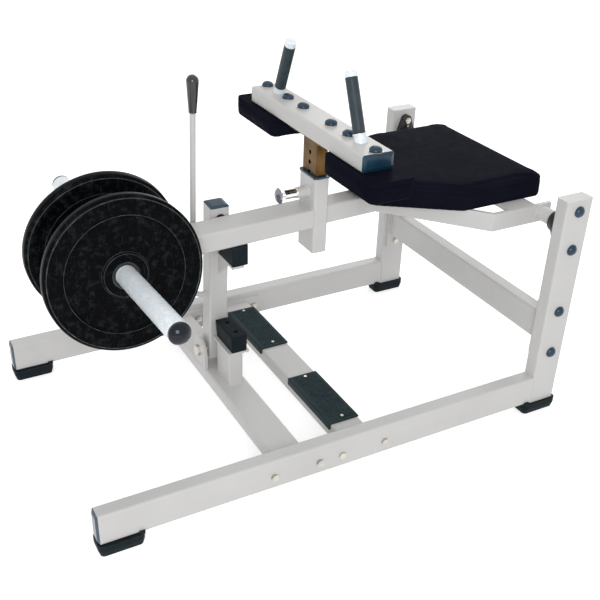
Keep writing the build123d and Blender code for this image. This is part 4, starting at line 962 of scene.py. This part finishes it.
frame_welds = [
    weld_run((-0.168, -0.0402, CROSS_TOP), (-0.128, -0.0402, CROSS_TOP)),
    weld_run((-0.168, 0.0402, CROSS_TOP), (-0.128, 0.0402, CROSS_TOP)),
    weld_run((-0.1682, -0.038, CROSS_TOP), (-0.1682, 0.038, CROSS_TOP)),
    weld_run((-0.1278, -0.038, CROSS_TOP), (-0.1278, 0.038, CROSS_TOP)),
    weld_run((-0.186, 0.060, CROSS_TOP), (-0.186, 0.136, CROSS_TOP)),
    weld_run((-0.122, 0.060, CROSS_TOP), (-0.122, 0.136, CROSS_TOP)),
]
for side in (-1, 1):
    flange = side * FLANGE_FACE
    for centre_x, centre_z, half_x, half_z in (
        (-0.154, 0.064, 0.040, 0.020), (0.027, 0.064, 0.040, 0.020), (0.590, 0.243, 0.020, 0.040)
    ):
        for sign in (-1, 1):
            frame_welds.append(weld_run(
                (centre_x - half_x + 0.005, flange, centre_z + sign * half_z),
                (centre_x + half_x - 0.005, flange, centre_z + sign * half_z)))
            frame_welds.append(weld_run(
                (centre_x + sign * half_x, flange, centre_z - half_z + 0.005),
                (centre_x + sign * half_x, flange, centre_z + half_z - 0.005)))
finish_piece(join(frame_welds), "Frame_welds", "frame", "frame_paint", angle=70)

lever_welds = [
    weld_run((0.065, -0.036, 0.538), (0.065, 0.036, 0.538)),
    weld_run((0.105, -0.027, 0.539), (0.105, 0.027, 0.539)),
]
lever_welds.append(weld_ring((PIN_BOSS.x + 0.0307, 0, PIN_BOSS.z), (1, 0, 0), 0.0146, 0.0024))
for side in (-1, 1):
    lever_welds.append(weld_run((0.105, side * 0.030, 0.492), (0.105, side * 0.030, 0.536)))
    lever_welds.append(weld_ring(PIVOT + Vector((0, side * 0.2705, 0)), (0, 1, 0), 0.0195, 0.0026))
    direction = sleeve_direction(side)
    at_arm = SLEEVE_ORIGIN + direction * (0.0405 / math.cos(SLEEVE_RISE))
    lever_welds.append(weld_ring(at_arm, direction, SLEEVE_RADIUS + 0.0006, 0.0028))
    at_flange = SLEEVE_ORIGIN + direction * (STOP_FLANGE_START - 0.0006)
    lever_welds.append(weld_ring(at_flange, direction, SLEEVE_RADIUS + 0.0004, 0.0024))
finish_piece(join(lever_welds), "Lever_welds", "lever", "frame_paint", angle=70)

handle_welds = []
for side in (-1, 1):
    handle_welds.append(weld_ring((ADJUSTER_X, side * HANDLE_Y, BAR_TOP + 0.0002), (0, 0, 1),
                                  0.0146, 0.0020))
finish_piece(join(handle_welds), "Handle_welds", "thigh_rest", "frame_paint", angle=70)


# ---- Grease nipples on the bearings

def grease_nipple(side):
    base = PIVOT + Vector((0, side * 0.332, 0.0300))
    profile = [(0, 0), (0, 0.0034), (0.0028, 0.0034), (0.0030, 0.0024), (0.0044, 0.0024),
               (0.0048, 0.0030), (0.0068, 0.0030), (0.0084, 0.0014), (0.0084, 0)]
    return turn_solid(profile, base, (0, -side * 0.25, 1), steps=20, closed=False)


finish_piece(join([grease_nipple(-1), grease_nipple(1)]), "Grease_nipples", "frame", "zinc_steel")
